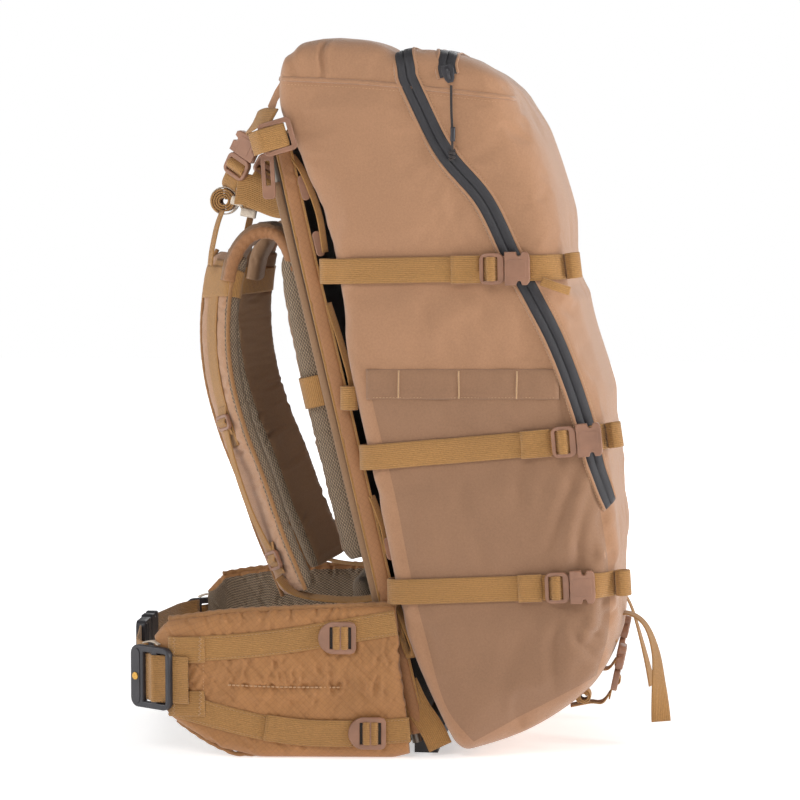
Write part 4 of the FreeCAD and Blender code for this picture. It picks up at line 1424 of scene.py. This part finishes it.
def make_harness():
    body = "shoulder_left"
    soft_strap("shoulder_cushion_left", PAD_LINE, PAD_ACROSS, 58, 17, body, "shoulder_pad_left", 11,
               ["pad", "mesh", "pad_dark"])
    edge_binding("shoulder_edge", PAD_LINE, PAD_ACROSS, 58, body, 6.0)
    soft_strap("back_cushion_left", BACK_PAD_LINE, (0, -1, 0), 56, 27, "pack", "back_pad_left", 12,
               ["pad_dark", "mesh", "pad_dark"])
    edge_binding("back_edge", BACK_PAD_LINE, (0, -1, 0), 58, "pack", -12.0, "sleeve", 4.2)
    path, normals = strip(PAD_LINE, PAD_ACROSS, 8.6, 3.0, 0.04, 0.56)
    pair("shoulder_strap_left", path, normals, flat_profile(20, 1.8), "webbing", body,
         node="shoulder_webbing_left")
    path, normals = strip(PAD_LINE, PAD_ACROSS, 11.5, 3.0, 0.5, 0.86)
    lift = np.sin(np.linspace(0, math.pi, len(path)))[:, None] * 7.0
    pair("shoulder_adjust_left", path + normals * lift, normals, flat_profile(11, 1.6), "webbing",
         body)
    path, normals = strip(PAD_LINE, PAD_ACROSS, 0.4, 2.0, 0.06, 0.14)
    pair("pad_band_left", path, normals, pad_profile(61, 22, 40, 0.4), "webbing", body)
    for tag, index, length in (("top", 4, 16), ("low", 7, 20)):
        end, before = np.array(PAD_LINE[index], float), np.array(PAD_LINE[index - 1], float)
        run = unit(end - before)
        out = unit(np.cross(run, PAD_ACROSS))
        place = axes(end + out * 11.5, run, out)
        loops = [rounded_box(-length, 0, -13, 13, 4, -0.9),
                 rounded_box(-length + 3, -length / 2 - 1, -9.5, 9.5, 1, 0.4),
                 rounded_box(-length / 2 + 1.5, -2.8, -9.5, 9.5, 1, 0.4)]
        ladder = plate("shoulder_ladder_%s_left" % tag, loops, 0, 4, 0.9, place, "brown", body)
        both(ladder, body, "shoulder_ladders_left" if tag == "top" else "")
        route = [(-length - 8, -1.5), (-length, 0.5), (-length / 2 - 3, 2.5), (-length / 2, 4.8),
                 (-length / 2 + 3, 2.5), (0, 0), (6, -1)]
        placed_pair("shoulder_loop_%s_left" % tag, route, 18, 1.5, place, "webbing", body)
    path, normals = strip(APEX_LINE, (0.0, -1, 0), 0.0, 2.5)
    cover = sweep("apex_cover_left", path, normals, pad_profile(58, 16, 36, 0.4), "pad_dark",
                  "pack")
    press(cover, wrinkles(21, 26, (-210, -130, 480, 540), 16, 1.3, 2.6, 90), [0, 2])
    both(cover, "pack")
    edge_binding("apex_rim", APEX_LINE, (0.0, -1, 0), 58, "pack", 3.0, "sleeve", 6.6, (-1,))
    edge_binding("apex_lining", APEX_LINE, (0.0, -1, 0), 50, "pack", -4.0, "pad_dark", 3.0, (1,))
    path, normals = strip(BACK_PAD_LINE, (0, -1, 0), 0.0, 2.0, 0.4, 0.5)
    pair("back_band_left", path, normals, pad_profile(66, 33, 40, 0.4), "webbing")
    make_harness_webbing()


def make_harness_webbing():
    lower = curve([(-152, -126, 178), (-138, -128, 164), (-114, -130, 158), (-76, -131, 156),
                   (-44, -131, 160)], 3.0)
    piece = sweep("lower_strap_left", lower, (0.1, -0.4, 0.9), flat_profile(12, 1.6), "webbing",
                  "pack")
    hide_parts("harness_webbing")
    both(piece, "pack")
    yoke = curve([(-197, -104, 574), (-186, -106, 573), (-168, -110, 566), (-150, -116, 560),
                  (-132, -126, 560)], 3.0)
    pair("yoke_band_left", yoke, (-0.1, -0.95, 0.3), flat_profile(33, 2.0), "webbing")


# ---- load lifters and top hardware -----------------------------------------------------
RING_CENTRE = (-145.0, -169.0, 626.0)
LIFTER_TOP = np.array((-180.0, -112.0, 630.0))
LIFTER_END = np.array((-203.0, -98.0, 585.0))
LIFTER_FACE = (-0.4, -0.9, 0.0)
ROLL_CENTRE = (-212.0, -88.0, 562.0)


def make_lifters():
    place = axes(RING_CENTRE, (0.96, 0, 0.28), (-0.1, -1, 0))
    loops = [rounded_box(-17, 17, -17, 17, 4, -1.1), rounded_box(-12, 12, -12, 12, 2, 1.0)]
    ring = plate("lifter_ring_left", loops, 0, 4, 1.1, place, "brown", "pack")
    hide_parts("lifter_rings")
    both(ring, "pack")
    fold = [(-27, -3), (-21, 2.5), (-16, 5.4), (-11, 4.8), (-4, 3.4), (4, 2.4), (9.6, 0.8)]
    placed_pair("ring_webbing_left", fold, 23.5, 1.8, place, "webbing")
    top = LIFTER_TOP + (4, -2, 6)
    lead = curve([(-150, -163, 644), (-163, -150, 645), (-174, -134, 640), tuple(top)], 3.0)
    pair("lifter_lead_left", lead, (-0.35, -0.8, 0.5), flat_profile(23, 1.8), "webbing")
    middle = (LIFTER_TOP + LIFTER_END) / 2
    place = axes(middle, LIFTER_TOP - LIFTER_END, LIFTER_FACE)
    place = place @ Matrix.Translation((0, 0, -4 * MM))
    for sign, side in ((-1, "left"), (1, "right")):
        buckle("lifter_buckle_" + side, place, 30, 24, 8, "brown", "lifter_" + side, "pack", sign,
               ("lifter_plug_" + side, "lifter_sockets" if side == "left" else None))
    both(saddle("lifter_saddle_left", place, 24, 6.6, 22, "lifter_left", -1), "lifter_left")
    points, out = spiral(ROLL_CENTRE, 2.5, 11.5, 3.6, 0.5, ((1, 0, 0), (0, 0, 1)))
    roll = sweep("lifter_coil_left", points, out, flat_profile(24, 1.9), "webbing", "lifter_left")
    both(roll, "lifter_left", "lifter_roll_left")
    lead = curve([tuple(LIFTER_END + (2, 2, 4)), (-206, -95, 578), (-205, -89, 572)], 2.0)
    pair("lifter_drop_left", lead, (-0.5, -0.8, 0), flat_profile(20, 1.6), "webbing",
         "lifter_left")
    turns = np.linspace(0, 2 * math.pi, 30)
    for number, shift in enumerate((-6, 7)):
        loop = np.column_stack([ROLL_CENTRE[0] + 13.4 * np.cos(turns),
                                np.full(30, ROLL_CENTRE[1] + shift),
                                ROLL_CENTRE[2] + 13.4 * np.sin(turns)])
        out = np.column_stack([np.cos(turns), np.zeros(30), np.sin(turns)])
        both(sweep("roll_elastic_%d_left" % number, loop, out, flat_profile(4.5, 1.0), "elastic",
                   "lifter_left", caps=False), "lifter_left")
    line = curve([(-212, -100, 552), (-217, -104, 536), (-222, -106, 512), (-224, -106, 496)], 3.0)
    pair("pad_strap_left", line, (-0.8, -0.6, 0), flat_profile(10, 1.4), "webbing",
         "shoulder_left")
    for number, (height, reach) in enumerate(((563, 12), (551, 15))):
        x = -203 + number * 10
        stub = curve([(x, -99, height), (x + reach, -101, height - 3)], 2.0)
        pair("roll_tab_%d_left" % number, stub, (0, -1, 0), pad_profile(9, 6, 16), "elastic")
    place = axes((-157, -158, 606), (0.06, 0, -1), (0, -1, 0))
    loops = [rounded_box(-4, 42, -6.5, 6.5, 3, -0.9), rounded_box(3, 29, -3.0, 3.0, 2, 0.4)]
    plate_pair("frame_clip_left", loops, 0, 5, 0.9, place, "brown")


def make_shade_sheet():
    """Near-black cloth-textured panel stretched between the rails, behind the bag: a dark sheet
    that stands in for the shade in the gap between bag and frame.
    """
    rows = []
    for s in np.linspace(34, 648, 60):
        y = np.linspace(-124, 124, 31)
        n = 6 + 1.2 * np.sin(y / 19 + s / 40) * np.cos(s / 33)
        rear = [(a, b, s) for a, b in zip(n, y)]
        rows.append(rear + [(a + 1.6, b, c) for a, b, c in rear[::-1]])
    panel = grid("frame_backing", leaned(np.asarray(rows)), "backing", "pack", close=True,
                 caps=True)


def make_frame_cover():
    """Fabric sleeve over each rail with a webbing edge, and small fittings beside it."""
    stations = [(-1, -137, 24), (1, -138, 180), (4, -139, 400), (6, -140, 540), (8, -140, 630)]
    path = curve(leaned(stations), 4.0)
    section = pad_profile(1.0, 1.0, 24)
    width = np.linspace(16, 15, len(path))
    rows = section[None] * np.stack([width, np.full(len(path), 15.0)], axis=1)[:, None]
    sleeve = sweep("frame_sleeve_left", path, (0, -1, 0), rows, "sleeve", "pack")
    press(sleeve, wrinkles(31, 90, (-170, 0, 20, 620), 20, 1.2, 2.6, 10), [0, 2])
    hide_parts("frame_sleeves")
    both(sleeve, "pack")
    side = unit(np.cross(tangents(path), np.array([0.0, -1.0, 0.0])))
    for edge, tag in ((-1, "a"), (1, "b")):
        rim = path + side * (width / 2 - 0.2)[:, None] * edge - np.array([0, 3.0, 0])
        pair("sleeve_edge_%s_left" % tag, rim, (0, -1, 0), flat_profile(2.6, 3.0), "webbing")
    rail = curve(leaned([(-11, -136, 24), (-10, -136, 300), (-8, -136, 600)]), 6.0)
    pair("rail_cover_left", rail, (0, -1, 0), pad_profile(9, 13, 20), "pad_dark")
    for number, (n, s, tall) in enumerate(((18, 588, 26), (19, 530, 26), (15, 214, 24))):
        place = axes(leaned([(n, -143, s)])[0], leaned([(0, 0, -1)])[0], (0.3, -1, 0))
        loops = [rounded_box(-tall / 2, tall / 2, -4.5, 4.5, 4, -0.9)]
        plate_pair("gap_buckle_%d_left" % number, loops, 0, 4, 0.9, place, "brown")
    lines = [[(14, -142, 622), (22, -146, 600), (27, -148, 560), (24, -147, 520)],
             [(14, -142, 470), (17, -144, 430), (18, -144, 390), (14, -143, 362)],
             [(10, -142, 270), (14, -144, 240), (13, -144, 210)],
             [(8, -142, 158), (13, -146, 128), (15, -147, 108), (9, -146, 104), (5, -143, 128)]]
    for number, line in enumerate(lines):
        path = curve(leaned(line), 3.0)
        pair("gap_strap_%d_left" % number, path, (0.8, -0.6, 0), flat_profile(9, 1.4), "webbing")
    points, out = spiral(leaned([(14, -150, 372)])[0], 2.6, 8.2, 2.5, 0.2,
                         ((1, 0, 0), (0, -1, 0)))
    pair("rail_roll_left", points, out, flat_profile(24, 1.7), "webbing")
    line = curve([(-20, -139, 74), (-8, -141, 50), (7, -142, 28), (16, -142, 9)], 3.0)
    pair("base_strap_left", line, (0.1, -1, 0.1), flat_profile(25, 1.8), "webbing")
    gusset = [[(25, -136, 702), (24, -139, 688), (21, -140, 668)],
              [(12, -134, 690), (12, -137, 682), (14, -139, 669)],
              [(1, -131, 677), (2, -133, 673), (6, -136, 668)]]
    rows = [curve(leaned(row), 2.0)[:14] for row in gusset]
    count = min(len(row) for row in rows)
    both(grid("collar_gusset_left", [row[:count] for row in rows], "bag", "pack", close=False),
         "pack")


# ---- zipper pull, top zipper and bottom straps -------------------------------------------
SLIDER = (189.0, 662.0)
PULL_ROUTE = [(0, 0, 0), (0, -2, -22), (1.5, -2, -45), (1, 0, -68)]
PULL_R = 1.3
BOTTOM_BUCKLE = (191.0, -100.0, 88.0)


def make_pull():
    body = "zipper_pull"
    centre = leaned([(SLIDER[0], -168.4, SLIDER[1])])[0]
    place = axes(centre, leaned([(0, 0, -1)])[0], (0, -1, 0))
    lower = [(-8, -4.5), (-3, -5.5), (5, -4), (8.2, -2.2)]
    outline = lower + [(u, -v) for u, v in lower[::-1]]
    slider = plate("slider_body", [outline], 0, 3.4, 0.9, place, "black", body)
    bridge = placed_sweep("slider_bridge", [(-6, 3), (-3, 5), (2, 5), (6, 3)], 3, 1.2, place,
                          "black", body, -1)
    join("slider_body", [slider, bridge])
    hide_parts("zipper_slider")
    start = leaned([(SLIDER[0], -171.2, SLIDER[1] - 12)])[0]
    route = [start + np.array(step) for step in PULL_ROUTE]
    data = bpy.data.curves.new("pull_cord", "CURVE")
    data.dimensions = "3D"
    data.bevel_depth = PULL_R * MM
    data.bevel_resolution = 3
    spline = data.splines.new("NURBS")
    spline.points.add(len(route) - 1)
    for point, place in zip(spline.points, route):
        point.co = (*(place * MM), 1)
    spline.order_u = 3
    spline.use_endpoint_u = True
    spline.resolution_u = 12
    cord = bpy.data.objects.new("pull_cord", data)
    data.materials.append(MATERIALS["cord"])
    bpy.context.scene.collection.objects.link(cord)
    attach(cord, body)
    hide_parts("zipper_pull_cord")
    end = route[-1]
    turns = np.linspace(0, 5 * math.pi, 60)
    twist = np.column_stack([end[0] + 2.1 * np.cos(turns), end[1] + 2.1 * np.sin(turns),
                             end[2] + 4 - turns * 0.55])
    knot = sweep("pull_knot", twist, (0, -1, 0.3), round_profile(1.5, 8), "cord", body)
    sleeve_line = curve([tuple(route[2] + (0.4, 1.0, 4)), tuple(route[2] + (0.2, 0.8, -10))], 2.0)
    sleeve = sweep("pull_sleeve", sleeve_line, (0, -1, 0), round_profile(2.5, 12), "black", body)


def make_top_zipper(skin):
    found = []
    for y in (30, 0, -30, -60, -90, -115):
        found.append(skin.toward(leaned([(200, y, 900)])[0], leaned([(185, y, 600)])[0]))
    for y, s in ((-135, 690), (-150, 684)):
        aim = leaned([(188, y, s - 12)])[0]
        found.append(skin.toward(aim + (20, -60, 80), aim))
    for s in (672, 660):
        x, _, z = leaned([(188, 0, s)])[0]
        found.append(skin.side(x, z))
    both_ways = np.array([[*p, *(n * 100)] for p, n in found])
    fine = curve(both_ways, 3.0)
    path, normals = soften(fine[:, :3], 3), unit(soften(fine[:, 3:], 5))
    tape = sweep("top_zipper_tape", path + normals * 0.3, normals, WELT, "zip_tape", "pack")
    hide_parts("zipper_top")
    teeth("zipper_top_teeth", path + normals * 0.9, normals, 1.5)
    across = unit(np.cross(tangents(path), normals))
    for edge, tag in ((-1, "a"), (1, "b")):
        sweep("zipper_top_rim_" + tag, path + across * edge * 9.8 + normals * 0.2, normals, FLAP,
              "bag", "pack")


def make_bottom():
    place = axes(BOTTOM_BUCKLE, (0.2, 0, 0.98), (0.98, 0, -0.2))
    for sign, side in ((-1, "left"), (1, "right")):
        buckle("bottom_buckle_" + side, place, 26, 24, 8, "brown", "pack", "pack", sign,
               ("bottom_buckles" if side == "left" else None, None))
    both(saddle("bottom_saddle_left", place, 24, 6.8, 19, "pack", -1), "pack")
    lead = curve([(192, -100, 114), (188, -100, 128), (180, -100, 136)], 2.0)
    pair("bottom_lead_left", lead, (1, 0, 0.3), flat_profile(20, 1.6), "webbing")
    under = curve([(186, -100, 62), (178, -100, 52), (166, -101, 52), (146, -102, 48)], 2.0)
    pair("bottom_under_left", under, (0.3, 0, -1), flat_profile(20, 1.6), "webbing")
    points, out = spiral((161, -136, 64), 2.2, 7.0, 2.6, 0.3, ((1, 0, 0), (0, 0, 1)))
    pair("bottom_roll_left", points, out, flat_profile(18, 1.7), "webbing")
    tails = [("left", -1, [(186, -64, 130), (202, -64, 137), (220, -65, 126), (231, -66, 98),
                           (235, -68, 62), (238, -70, 26)], 1.1),
             ("right", 1, [(186, 64, 132), (196, 64, 136), (204, 64, 122), (212, 64, 96),
                           (220, 62, 66), (226, 60, 40)], 0.5)]
    for side, sign, line, twist in tails:
        path = curve(line, 3.0)
        turn = np.linspace(0, twist, len(path)) ** 2 * 1.2
        run = tangents(path)
        flat = unit(np.cross(run, np.array([0.0, 1.0, 0.0])))
        normals = flat * np.cos(turn)[:, None] + np.array([0, -1.0, 0]) * np.sin(turn)[:, None]
        tail = sweep("bottom_tail_" + side, path, normals, flat_profile(20, 1.5), "webbing", "pack")
        if side == "left":
            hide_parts("bottom_tails")


def finish_metal():
    for node, material in (("frame_rail_left", "alloy"), ("frame_rail_right", "alloy"),
                           ("frame_crossbar_top", "alloy"), ("frame_base_bar", "sheet"),
                           ("frame_sheet", "sheet")):
        piece = bpy.data.objects[node]
        piece.data.materials.clear()
        piece.data.materials.append(MATERIALS[material])


MATERIALS = {}
make_camera()
make_studio()
MATERIALS.update(make_materials())
finish_metal()
BAG = make_bag()
SKIN = Skin(BAG)
for side_name, side_sign in SIDES:
    zipper(SKIN, side_name, side_sign)
    make_pocket(SKIN, side_name, side_sign)
make_seams(SKIN)
make_compression_straps(SKIN)
make_belt()
make_lumbar()
make_harness()
make_lifters()
make_shade_sheet()
make_frame_cover()
make_pull()
make_top_zipper(SKIN)
make_bottom()
